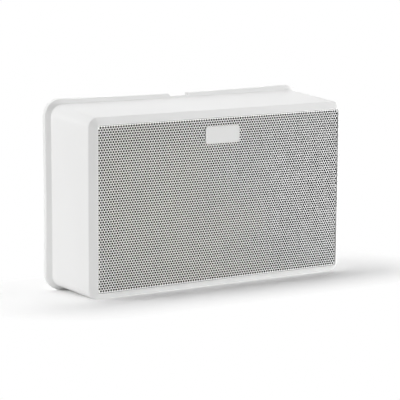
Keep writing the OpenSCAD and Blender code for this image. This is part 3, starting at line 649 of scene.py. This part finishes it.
def node_finishes(colours):
    """The finish of every carried-over CAD node."""
    zinc = plated("Zinc Plate", (0.62, 0.62, 0.58), (0.48, 0.48, 0.46))
    whizzer = moulded("Whizzer Paper", (0.46, 0.38, 0.26), 0.85, 900.0, 0.5)
    brown = moulded("Brown Lead", (0.12, 0.05, 0.025), 0.38)
    plain = ("cabinet_screws", "driver_screws", "terminal_screws", "block_screws", "transformer_screws",
             "top_plate", "pole_yoke", "transformer_strap")
    return {
        **dict.fromkeys(plain, zinc),
        **dict.fromkeys(("whizzer_cone", "dust_cap"), whizzer),
        **dict.fromkeys(("supply_lead_live", "supply_lead_fused"), brown),
        "wall_plate": moulded("Back Moulding", colours.back, 0.5, 1500.0, 0.2, 0.97),
        "cable_grommet": moulded("Bush Rubber", (0.025, 0.025, 0.026), 0.62, 1200.0, 0.3),
        "driver_basket": moulded("Frame Paint", (0.03, 0.03, 0.033), 0.4, 1800.0, 0.2),
        "driver_gasket": moulded("Gasket Foam", (0.02, 0.02, 0.02), 0.95, 700.0, 0.9),
        "magnet": moulded("Ferrite", (0.045, 0.045, 0.05), 0.6, 1300.0, 0.35),
        "terminal_strip": moulded("Fibre Board", (0.25, 0.11, 0.04), 0.7, 1100.0, 0.4),
        "solder_tags": plated("Tinned Tags", (0.70, 0.68, 0.62), (0.55, 0.48, 0.34), 0.3),
        "terminal_clamps": plated("Brass Plate", (0.78, 0.58, 0.26), (0.58, 0.40, 0.16), 0.28),
        "cone": moulded("Cone Paper", colours.paper, 0.88, 800.0, 0.6),
        "coil_former": moulded("Former Paper", (0.32, 0.16, 0.06), 0.7, 1200.0, 0.3),
        "voice_coil": wound("Voice Coil Wire", (0.72, 0.33, 0.16), (0.20, 0.07, 0.03), 0.0002, 1.0),
        "transformer_core": wound("Core Sheets", (0.16, 0.17, 0.19), (0.05, 0.05, 0.055), 0.0005, 0.6, 0.42),
        "transformer_bobbin": moulded("Bobbin Nylon", (0.74, 0.70, 0.60), 0.4, 2000.0, 0.12,
                                      Subsurface_Weight=0.1, Subsurface_Radius=(0.002, 0.0015, 0.001)),
        "transformer_winding": wound("Winding Wire", (0.62, 0.26, 0.10), (0.16, 0.05, 0.02), 0.0004, 0.9),
        "terminal_block": moulded("Steatite", (0.80, 0.77, 0.70), 0.2, 2600.0, 0.06, Coat_Weight=0.5),
        "thermal_fuse": plated("Fuse Can", (0.70, 0.68, 0.62), (0.60, 0.58, 0.52), 0.22),
        "supply_lead_return": moulded("Blue Lead", (0.03, 0.08, 0.32), 0.38),
        "driver_lead_plus": moulded("Red Lead", (0.38, 0.02, 0.02), 0.38),
        "driver_lead_minus": moulded("Black Lead", (0.015, 0.015, 0.016), 0.38),
    }


def dress(piece, material, stands_for, rigid=True):
    """Gives a new piece its material, hides the CAD node that it stands for, and puts the piece on its body
    unless it flexes.
    """
    piece.data.materials.clear()
    piece.data.materials.append(material)
    if rigid:
        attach(piece, SHELF_BODY)
    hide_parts(stands_for)


# Operators


class LOUDSPEAKER_OT_camera(bpy.types.Operator):
    """Put the camera at the photograph's angle"""

    bl_idname = "loudspeaker.camera"
    bl_label = "Camera"

    def execute(self, context):
        studio = context.scene.loudspeaker_studio
        a, p, r = studio.azimuth, studio.pitch, studio.roll
        forward = Vector((math.sin(a) * math.cos(p), math.cos(a) * math.cos(p), -math.sin(p)))
        level = Vector((math.cos(a), -math.sin(a), 0.0))
        upright = level.cross(forward)
        x_axis = math.cos(r) * level + math.sin(r) * upright
        y_axis = -math.sin(r) * level + math.cos(r) * upright
        middle = Vector((0.0, GRILLE_Y, MID_Z))
        eye = middle - forward * studio.distance - x_axis * studio.right - y_axis * studio.up
        data = bpy.data.cameras.new("Camera")
        data.sensor_width = SENSOR_MM
        data.sensor_fit = "HORIZONTAL"
        data.lens = studio.lens
        camera = placed("Camera", data)
        turn = Matrix((x_axis, y_axis, -forward)).transposed()
        camera.matrix_world = Matrix.Translation(eye) @ turn.to_4x4()
        context.scene.camera = camera
        return {"FINISHED"}


# Sizes that the CAD's driver, screws and wall plate fix
DRIVER_SCREW = 0.0407  # each screw's distance from the driver's axis, across and up
BOSS_RADIUS, BOSS_FRONT, BOSS_BACK = 0.0042, 0.0045, 0.0015  # a boss stands out from both faces of the baffle
BORE_RADIUS, BORE_FRONT, BORE_BACK = 0.00175, 0.0034, 0.006  # its hole, before and behind the baffle's front
FIXING_X, FIXING_DEPTH = 0.085, 0.015  # the two screws from below: across, and away from the wall
FIXING_HEAD, FIXING_SHANK, FIXING_TOP = 0.0044, 0.0019, 0.012  # their holes' radii, and where the holes end
FIXING_SEAT = 0.0015  # plastic between a screw's head and the hollow
# Pocket of a snap tongue: half its width, its faces' distances from the wall and from the hollow's top
TONGUE_HALF, TONGUE_FRONT, TONGUE_BACK, TONGUE_BELOW, TONGUE_ABOVE = 0.009, 0.0171, 0.0129, 0.0023, 0.0011


def hollow_half(c):
    """Half width and half height of the hollow at the back."""
    half_w = c.opening_w / 2 + c.bevel + c.lean_side - c.wall
    half_h = c.opening_h / 2 + c.bevel + c.lean_top - c.wall_dip * c.dip_long - c.wall
    return half_w, half_h


def baffle_front(c):
    """Place of the baffle's front along the depth."""
    return LEDGE_Y + c.baffle_gap


def cabinet_rings(c):
    """Rings of the cabinet's skin, from the opening's rim round the outside to the hollow and the baffle."""
    front_w, front_h = c.opening_w / 2 + c.bevel, c.opening_h / 2 + c.bevel
    back_w, back_h = front_w + c.lean_side, front_h + c.lean_top
    edge_y = WALL_Y - c.lip_edge
    flare_y = edge_y - c.flare
    bevel_y = FRONT_Y + c.bevel
    baffle_y = baffle_front(c)
    baffle_back = baffle_y + c.wall
    (hollow_w, hollow_h), hollow_r = hollow_half(c), c.back_corner - c.wall
    part = (baffle_back - bevel_y) / (flare_y - bevel_y)
    behind_w = front_w + c.lean_side * part - c.wall
    behind_h = front_h + c.lean_top * part - c.wall

    def at(depth, half_w, half_h, corner, dip=0.0):
        return ring(outline(half_w, half_h, corner, (c.dip_long * dip, c.dip_short * dip)), depth)

    def opening(depth, grown):
        return at(depth, c.opening_w / 2 + grown, c.opening_h / 2 + grown, c.opening_corner + max(grown, 0.0))

    lip = (back_w + c.lip_side, back_h + c.lip_top, c.back_corner + c.lip_top, 1.0)
    hollow = at(WALL_Y, hollow_w, hollow_h, hollow_r)
    ways = hollow[:, (0, 2)] - (0.0, MID_Z)
    hole = ways / np.linalg.norm(ways, axis=1, keepdims=True) * c.driver_hole
    return eased([
        (opening(FRONT_Y, 0.0), 0.00018),
        (opening(FRONT_Y, c.rim), 0.0003),
        (at(bevel_y, front_w, front_h, c.front_corner), c.bevel_round),
        (at(flare_y, back_w, back_h, c.back_corner, c.wall_dip), 0.0005),
        (at(edge_y, *lip), c.lip_round),
        (at(WALL_Y, *lip), 0.0004),
        (hollow, 0.0003),
        (at(flare_y, hollow_w, hollow_h, hollow_r), 0),
        (at(baffle_back, behind_w, behind_h, 6 * MM), 0),
        (ring(hole, baffle_back), 0),
        (ring(hole, baffle_y), 0.0006),
        (opening(baffle_y, -c.ledge), 0.0005),
        (opening(LEDGE_Y, -c.ledge), 0.0003),
        (opening(LEDGE_Y, 0.0), 0),
    ])


def at_driver_screws(radius, start, end):
    """A rod along the depth at each of the driver's four screws."""
    return [rod((sx * DRIVER_SCREW, MID_Z + sz * DRIVER_SCREW), "Y", radius, start, end) for sx, sz in SIDES]


def cabinet_cuts(c):
    """Cable notch, screw holes and the snap tongues' pockets."""
    hollow_h = hollow_half(c)[1]
    x0, x1 = c.notch_x - c.notch_w / 2, c.notch_x + c.notch_w / 2
    beyond = (x1, WALL_Y + MM, 2 * MID_Z + MM)
    flare_y, sill_z = WALL_Y - c.lip_edge - c.flare, MID_Z + hollow_h + c.wall + c.notch_sill
    baffle_y = baffle_front(c)
    shapes = [block((x0, flare_y - MM, sill_z), beyond),
              block((x0, WALL_Y - c.notch_deep, MID_Z + hollow_h - MM), beyond)]
    shapes += at_driver_screws(BORE_RADIUS, baffle_y - BORE_FRONT, baffle_y + BORE_BACK)
    for x in (-FIXING_X, FIXING_X):
        place = (x, WALL_Y - FIXING_DEPTH)
        shapes.append(rod(place, "Z", FIXING_HEAD, -MM, MID_Z - hollow_h - FIXING_SEAT))
        shapes.append(rod(place, "Z", FIXING_SHANK, -MM, FIXING_TOP))
        shapes.append(block((x - TONGUE_HALF, WALL_Y - TONGUE_FRONT, MID_Z + hollow_h - TONGUE_BELOW),
                            (x + TONGUE_HALF, WALL_Y - TONGUE_BACK, MID_Z + hollow_h + TONGUE_ABOVE)))
    return shapes


class LOUDSPEAKER_OT_cabinet(bpy.types.Operator):
    """Build the moulded cabinet with its bevelled front and flared flange"""

    bl_idname = "loudspeaker.cabinet"
    bl_label = "Cabinet"

    def execute(self, context):
        c = context.scene.loudspeaker_cabinet
        baffle_y = baffle_front(c)
        shell = skin("cabinet_moulding", cabinet_rings(c), closed=True)
        bosses = at_driver_screws(BOSS_RADIUS, baffle_y - BOSS_FRONT, baffle_y + c.wall + BOSS_BACK)
        cut_with(shell, joined("bosses", bosses), "UNION")
        cut_with(shell, joined("cuts", cabinet_cuts(c)), "DIFFERENCE")
        smooth(shell, 26.0)
        dress(shell, shell_finish(context.scene.loudspeaker_finishes), "cabinet")
        return {"FINISHED"}


def clipped(points, axis, sign, limit):
    """Part of a polygon whose coordinate along the axis, times the sign, is below the limit."""
    kept = []
    for a, b in zip(points, points[1:] + points[:1]):
        far_a, far_b = sign * a[axis] - limit, sign * b[axis] - limit
        if far_a <= 0:
            kept.append(a)
        if far_a * far_b < 0:
            t = far_a / (far_a - far_b)
            kept.append((a[0] + (b[0] - a[0]) * t, a[1] + (b[1] - a[1]) * t))
    return kept


def hole_outlines(half_w, half_h, corner, g):
    """Hexagonal holes in staggered rows, cut off near the sheet's edge, apart from those behind the badge."""
    row_pitch = g.pitch * math.sqrt(3) / 2
    rows, columns = int(half_h / row_pitch) + 1, int(half_w / g.pitch) + 1
    behind_w, behind_h = g.badge_w / 2 - MM, g.badge_h / 2 - MM
    reach, least = g.across / math.sqrt(3), g.across / 4
    angles = [math.radians(30 + 60 * k) for k in range(6)]
    for row in range(-rows, rows + 1):
        for column in range(-columns, columns + 1):
            x, z = (column + (row % 2) / 2) * g.pitch, row * row_pitch
            if abs(x) < behind_w and abs(z - g.badge_z) < behind_h:
                continue
            hole = [(x + reach * math.cos(a), z + reach * math.sin(a)) for a in angles]
            for axis, limit in ((0, half_w - g.edge), (1, half_h - g.edge)):
                for sign in (-1, 1):
                    hole = clipped(hole, axis, sign, limit)
            if len(hole) < 3 or any(max(w) - min(w) < least for w in zip(*hole)):
                continue
            past = [(max(abs(x) - half_w + corner, 0), max(abs(z) - half_h + corner, 0)) for x, z in hole]
            if max(math.hypot(*p) for p in past) <= corner - g.edge / 2:
                yield hole


def perforated_sheet(name, g, half_w, half_h, corner):
    """A closed sheet with hexagonal holes, their flats facing each other."""
    edge = [tuple(p) for p in outline(half_w, half_h, corner, corner_steps=6, side_steps=(40, 24))]
    points, loops = list(edge), [list(range(len(edge)))]
    for hole in hole_outlines(half_w, half_h, corner, g):
        first = len(points)
        points += hole
        loops.append(list(range(first, first + len(hole))))
    filled = geometry.delaunay_2d_cdt([Vector(p) for p in points], [], loops, 2, TINY)
    flat, faces, sources = filled[0], filled[2], filled[3]
    if len(flat) != len(points):
        raise RuntimeError("the perforated sheet's outline and holes touch")
    count = len(flat)
    new_index = {old: new for new, olds in enumerate(sources) for old in olds}
    mesh_points = [(p[0], y, MID_Z + p[1]) for y in (GRILLE_Y, GRILLE_Y + g.thick) for p in flat]
    made = [tuple(f) for f in faces] + [tuple(i + count for i in reversed(f)) for f in faces]
    for loop in loops:
        for a, b in zip(loop, loop[1:] + loop[:1]):
            a, b = new_index[a], new_index[b]
            made.append((b, a, a + count, b + count))
    return solid(name, mesh_points, made)


class LOUDSPEAKER_OT_grille(bpy.types.Operator):
    """Build the perforated steel sheet"""

    bl_idname = "loudspeaker.grille"
    bl_label = "Grille"

    def execute(self, context):
        c, g = context.scene.loudspeaker_cabinet, context.scene.loudspeaker_grille
        half_w, half_h = c.opening_w / 2 - g.gap, c.opening_h / 2 - g.gap
        sheet = perforated_sheet("grille_sheet", g, half_w, half_h, c.opening_corner - g.gap)
        dress(sheet, grille_finish(context.scene.loudspeaker_finishes), "grille")
        return {"FINISHED"}


CLOTH_COLUMNS, CLOTH_ROWS = 80, 48
CLOTH_FRONT, CLOTH_SLACK, CLOTH_RIPPLE = 0.00005, 0.00004, 0.00003  # gap to the grille, sag and ripple


def cloth_shape(half_w, half_h, front, thick):
    """Points and faces of a stretched cloth with a slight sag and ripple."""
    columns, rows = CLOTH_COLUMNS, CLOTH_ROWS
    across, layer = columns + 1, (columns + 1) * (rows + 1)
    points, faces = [], []
    for depth in (front, front + thick):
        for j in range(rows + 1):
            for i in range(across):
                u, v = 2 * i / columns - 1, 2 * j / rows - 1
                slack = (1 - u * u) * (1 - v * v)
                ripple = CLOTH_RIPPLE * slack * math.sin(9 * u + 4 * v)
                points.append((half_w * u, depth + CLOTH_SLACK * slack + ripple, MID_Z + half_h * v))
    for j in range(rows):
        for a in range(j * across, j * across + columns):
            b = a + layer
            faces.append((a, a + 1, a + across + 1, a + across))
            faces.append((b, b + across, b + across + 1, b + 1))
    rim = [*range(across), *range(across + columns, layer, across)]
    rim += [*range(layer - 2, rows * across - 1, -1), *range((rows - 1) * across, 0, -across)]
    faces += [(b, a, a + layer, b + layer) for a, b in zip(rim, rim[1:] + rim[:1])]
    return points, faces


class LOUDSPEAKER_OT_cloth(bpy.types.Operator):
    """Stretch the acoustic cloth behind the grille"""

    bl_idname = "loudspeaker.cloth"
    bl_label = "Cloth"

    def execute(self, context):
        c, g = context.scene.loudspeaker_cabinet, context.scene.loudspeaker_grille
        half_w, half_h = c.opening_w / 2 - g.cloth_gap, c.opening_h / 2 - g.cloth_gap
        front = GRILLE_Y + g.thick + CLOTH_FRONT
        cloth = solid("cloth_sheet", *cloth_shape(half_w, half_h, front, g.cloth_t))
        smooth(cloth, 40.0)
        dress(cloth, cloth_finish(context.scene.loudspeaker_finishes), "grille_cloth")
        return {"FINISHED"}


class LOUDSPEAKER_OT_badge(bpy.types.Operator):
    """Build the bare badge plate"""

    bl_idname = "loudspeaker.badge"
    bl_label = "Badge"

    def execute(self, context):
        g = context.scene.loudspeaker_grille
        field, sunk_y = g.badge_border, FRONT_Y + g.badge_recess
        field_corner = g.badge_corner - field + 0.5 * MM

        def at(depth, inset, corner):
            half_w, half_h = g.badge_w / 2 - inset, g.badge_h / 2 - inset
            flat = outline(half_w, half_h, corner, corner_steps=8, side_steps=(12, 8))
            return ring(flat, depth, MID_Z + g.badge_z)

        rings = eased([
            (at(GRILLE_Y, 4 * MM, 0.8 * MM), 0),
            (at(GRILLE_Y, 0.0, g.badge_corner), 0.00006),
            (at(FRONT_Y, 0.0, g.badge_corner), 0.00022),
            (at(FRONT_Y, field, field_corner), 0.00012),
            (at(sunk_y, field, field_corner), 0.0001),
            (at(sunk_y, field + 3 * MM, 0.6 * MM), 0),
        ], hold=0.00012, closed=False)
        plate = skin("badge_plate", rings, capped=True)
        smooth(plate, 35.0)
        dress(plate, badge_finish(context.scene.loudspeaker_finishes), "badge")
        return {"FINISHED"}


def flexing(piece, weight_of):
    """Bakes the piece's place into its mesh and works out, with weight_of, the share by which each point
    would follow the cone; nothing uses these shares.
    """
    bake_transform(piece)
    shares = [max(0.0, min(1.0, weight_of(v.co))) for v in piece.data.vertices]


def radius_at(point):
    """Distance of a point from the driver's axis."""
    return math.hypot(point.x, point.z - MID_Z)


RUBBER_T, ROLL_STEPS = 0.0005, 28  # the surround's thickness, and the steps of its roll
SPIDER_T, WAVE_HEIGHT, WAVES, WAVE_STEPS = 0.0004, 0.0009, 4, 96
SPIDER_NECK, SPIDER_EDGE, SPIDER_GLUE = 0.0016, 0.0004, 0.0036  # flat at the neck, before and on the shelf
LEAD_RADIUS = 0.0005
# A lead's way from a solder tag to the cone: across, and along the depth from the tags' back
LEAD_ROUTE = ((-0.035, -0.0005), (-0.0346, -0.0032), (-0.033, -0.006), (-0.029, -0.0074), (-0.0254, -0.0094))


def build_surround(d):
    """The surround: one roll between the cone's lip and the basket's rim."""
    middle = d.cone_lip + 0.4 * MM + d.roll
    arc = [math.pi * (1 - i / ROLL_STEPS) for i in range(ROLL_STEPS + 1)]

    def bent(radius, angles):
        return [(middle + radius * math.cos(a), RUBBER_T / 2 + radius * math.sin(a)) for a in angles]

    glued = d.cone_edge + 0.6 * MM
    profile = [(glued, 0.0), (glued, RUBBER_T)] + bent(d.roll + RUBBER_T / 2, arc)
    profile += [(d.seat, RUBBER_T), (d.seat, 0.0)] + bent(d.roll - RUBBER_T / 2, reversed(arc))
    piece = turned("surround_roll", profile, d)
    smooth(piece, 40.0)
    rubber = moulded("Edge Rubber", (0.03, 0.03, 0.032), 0.5, 1400.0, 0.2)
    dress(piece, rubber, "surround", rigid=False)
    flexing(piece, lambda p: (middle + d.roll - radius_at(p)) / (2 * d.roll))


def build_spider(d):
    """The spider: a waved disc between the coil former and its shelf on the basket."""
    front = SPIDER_T - d.shelf_depth
    inner_r, outer_r, glued_r = d.neck + SPIDER_NECK, d.shelf - SPIDER_EDGE, d.shelf + SPIDER_GLUE
    top = [(d.neck, front)]
    for i in range(WAVE_STEPS + 1):
        s = i / WAVE_STEPS
        top.append((inner_r + (outer_r - inner_r) * s, front + WAVE_HEIGHT * math.sin(math.tau * WAVES * s)))
    top.append((glued_r, front))
    piece = turned("spider_disc", top + [(r, z - SPIDER_T) for r, z in reversed(top)], d)
    smooth(piece, 40.0)
    weave = woven("Spider Weave", (0.42, 0.26, 0.07), (0.62, 0.43, 0.15), 0.0006, bump=0.5, depth=0.0001)
    dress(piece, weave, "spider", rigid=False)
    flexing(piece, lambda p: (outer_r - radius_at(p)) / (outer_r - inner_r))


def build_leads(d):
    """The two tinsel leads, from the solder tags to the cone."""
    tag_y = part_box("solder_tags")[1].y
    start, end = LEAD_ROUTE[0][0], LEAD_ROUTE[-1][0]
    braid = moulded("Tinsel Braid", (0.70, 0.36, 0.18), 0.35, 2600.0, 0.5, Metallic=0.9)
    for name, z in (("minus", MID_Z - d.tag_gap), ("plus", MID_Z + d.tag_gap)):
        path = flowing([(x, tag_y + y, z) for x, y in LEAD_ROUTE])
        piece = tube(f"tinsel_lead_{name}", path, LEAD_RADIUS, twist=0.55, strands=0.22)
        smooth(piece, 50.0)
        dress(piece, braid, "tinsel_leads", rigid=False)
        flexing(piece, lambda p: (p.x - start) / (end - start))


class LOUDSPEAKER_OT_flexible(bpy.types.Operator):
    """Build the surround, the spider and the tinsel leads, which flex with the cone"""

    bl_idname = "loudspeaker.flexible"
    bl_label = "Flexible parts"

    def execute(self, context):
        for build in (build_surround, build_spider, build_leads):
            build(context.scene.loudspeaker_driver)
        return {"FINISHED"}


class LOUDSPEAKER_OT_carried(bpy.types.Operator):
    """Give every carried-over CAD node its finish"""

    bl_idname = "loudspeaker.carried"
    bl_label = "Other parts"

    def execute(self, context):
        for name, material in node_finishes(context.scene.loudspeaker_finishes).items():
            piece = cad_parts[name]
            if not piece.material_slots:
                piece.data.materials.append(material)
            for place in piece.material_slots:
                place.material = material
        return {"FINISHED"}


LAMP_AIM = (0.0, 0.0, 0.08)  # near the object's middle
# Each lamp's setting, place and size, and whether glossy surfaces mirror it
LAMPS = {
    "left_lamp": ((-1.4, 0.7, 0.5), (1.2, 1.2), True),
    "right_lamp": ((1.4, 0.7, 0.5), (1.2, 1.2), True),
    "low_lamp": ((0.9, -1.0, 0.22), (0.9, 0.12), False),
    "front_lamp": ((0.0, -1.7, 0.35), (2.4, 0.3), False),
    "top_lamp": ((0.0, 0.1, 1.7), (1.6, 1.2), True),
    "back_lamp": ((0.2, 1.0, 1.2), (1.6, 1.2), True),
    "wall_lamp": ((0.0, 1.5, 0.5), (2.4, 0.8), True),
}
FLOOR_HALF, BEND_START, BEND_END, BEND_STEPS = 0.75, -0.08, -0.16, 8
DARK_WAY = (-0.55, -0.82, 0.12)  # direction that little of the even light comes from
DARK_FROM, DARK_FULL = 0.45, 0.95  # how well a ray agrees with it where the light begins to fall and ends


def lamp(name, watts, place, size, mirrored):
    """A soft rectangular lamp that faces the object, and may be left out of glossy reflections."""
    data = bpy.data.lights.new(name, "AREA")
    data.shape = "RECTANGLE"
    data.size, data.size_y = size
    data.energy = watts
    made = placed(name, data)
    made.location = place
    made.visible_glossy = mirrored
    made.rotation_euler = (Vector(LAMP_AIM) - Vector(place)).to_track_quat("-Z", "Y").to_euler()


def floor_rows(c):
    """Depth and height of the floor's rows: tilted under the object and bent level in front of it."""
    rear_y, front_y = WALL_Y - c.lip_edge, FRONT_Y + c.bevel
    slope = (c.lean_top + c.lip_top) / (rear_y - front_y)
    rows = [(FLOOR_HALF, (rear_y - FLOOR_HALF) * slope)]
    for i in range(BEND_STEPS + 1):
        t = i / BEND_STEPS
        fallen = (BEND_START - BEND_END) * (t - t * t / 2)
        rows.append((BEND_START + (BEND_END - BEND_START) * t, (rear_y - BEND_START + fallen) * slope))
    return rows + [(-FLOOR_HALF, rows[-1][1])]


def seen_directly(tree):
    """1 for rays from the camera and for reflected and transmitted rays, else 0."""
    rays = tree.nodes.new("ShaderNodeLightPath").outputs
    either = maths(tree, "MAXIMUM", rays["Is Camera Ray"], rays["Is Glossy Ray"])
    return maths(tree, "MAXIMUM", either, rays["Is Transmission Ray"])


class LOUDSPEAKER_OT_studio(bpy.types.Operator):
    """Build the pale floor, the white surroundings and the soft lamps"""

    bl_idname = "loudspeaker.studio"
    bl_label = "Studio"

    def execute(self, context):
        scene = context.scene
        studio = scene.loudspeaker_studio
        rows = floor_rows(scene.loudspeaker_cabinet)
        points = [(x, y, z) for y, z in rows for x in (-FLOOR_HALF, FLOOR_HALF)]
        faces = [(i, i + 2, i + 3, i + 1) for i in range(0, 2 * len(rows) - 2, 2)]
        floor = solid("floor", points, faces)
        smooth(floor)
        floor.data.materials.append(self.floor_material(tuple(scene.loudspeaker_finishes.floor), studio))
        self.world(scene, studio.world)
        for key, values in LAMPS.items():
            lamp(key.replace("_", " ").title(), getattr(studio, key), *values)
        scene.view_settings.view_transform = "Standard"
        return {"FINISHED"}

    @staticmethod
    def floor_material(base, studio):
        """Pale matt floor, shown brighter than it is, that turns into plain white away from the object."""
        material, tree, plain = bare_material("Studio Floor")
        tree.nodes.remove(plain)
        place = object_place(tree)
        seen = seen_directly(tree)
        tone = mixed(tree, noise(tree, place, 30.0), (*base, 1.0), (*tinted(base, 0.99), 1.0))
        shown = maths(tree, "ADD", maths(tree, "MULTIPLY", seen, studio.floor_gain - 1.0), 1.0)
        bright = node(tree, "ShaderNodeVectorMath", {0: tone, "Scale": shown}, operation="SCALE").outputs[0]
        surface = node(tree, "ShaderNodeBsdfDiffuse", {"Color": bright})
        axes = node(tree, "ShaderNodeSeparateXYZ", {0: place}).outputs
        beyond = [maths(tree, "SUBTRACT", maths(tree, "ABSOLUTE", axes[i]), CAD_BOX[1][i]) for i in (0, 1)]
        beside = {i: maths(tree, "MAXIMUM", beyond[i], 0.0) for i in (0, 1)}
        flat = node(tree, "ShaderNodeCombineXYZ", beside).outputs[0]
        away = node(tree, "ShaderNodeVectorMath", {0: flat}, operation="LENGTH").outputs["Value"]
        far = maths(tree, "MULTIPLY", spread(tree, away, studio.shadow_near, studio.shadow_far), seen)
        whitened(tree, "ShaderNodeEmission", far, surface, "Material Output")
        return material

    @staticmethod
    def world(scene, strength):
        """Even light, weaker from the front left, and seen as white."""
        world = bpy.data.worlds.new("Studio")
        world.use_nodes = True
        tree = world.node_tree
        light = tree.nodes["Background"]
        way = tree.nodes.new("ShaderNodeTexCoord").outputs["Generated"]
        dark = node(tree, "ShaderNodeVectorMath", {0: way, 1: DARK_WAY}, operation="DOT_PRODUCT")
        limits = {0: dark.outputs["Value"], 1: DARK_FROM, 2: DARK_FULL, 3: strength, 4: 0.0}
        fall = node(tree, "ShaderNodeMapRange", limits, interpolation_type="SMOOTHSTEP")
        light.inputs["Color"].default_value = WHITE
        tree.links.new(fall.outputs[0], light.inputs["Strength"])
        whitened(tree, "ShaderNodeBackground", seen_directly(tree), light, "World Output")
        scene.world = world


STEPS = (
    LOUDSPEAKER_OT_camera, LOUDSPEAKER_OT_cabinet, LOUDSPEAKER_OT_grille, LOUDSPEAKER_OT_cloth,
    LOUDSPEAKER_OT_badge, LOUDSPEAKER_OT_flexible, LOUDSPEAKER_OT_carried, LOUDSPEAKER_OT_studio,
)


class LOUDSPEAKER_PT_panel(bpy.types.Panel):
    """Lists the loudspeaker's pieces in the sidebar"""

    bl_label = "Loudspeaker"
    bl_idname = "LOUDSPEAKER_PT_panel"
    bl_space_type = "VIEW_3D"
    bl_region_type = "UI"
    bl_category = "Loudspeaker"

    def draw(self, context):
        for step in STEPS:
            self.layout.operator(step.bl_idname)


SETTINGS = {
    "loudspeaker_cabinet": CabinetSizes,
    "loudspeaker_grille": GrilleSizes,
    "loudspeaker_driver": DriverSizes,
    "loudspeaker_studio": StudioSettings,
    "loudspeaker_finishes": Finishes,
}


def register():
    for made in (*SETTINGS.values(), *STEPS, LOUDSPEAKER_PT_panel):
        bpy.utils.register_class(made)
    for name, settings in SETTINGS.items():
        setattr(bpy.types.Scene, name, PointerProperty(type=settings))


def unregister():
    for name in SETTINGS:
        delattr(bpy.types.Scene, name)
    for made in reversed((*SETTINGS.values(), *STEPS, LOUDSPEAKER_PT_panel)):
        bpy.utils.unregister_class(made)


def main():
    register()
    for step in STEPS:
        group, name = step.bl_idname.split(".")
        getattr(getattr(bpy.ops, group), name)()


if __name__ == "__main__":
    main()
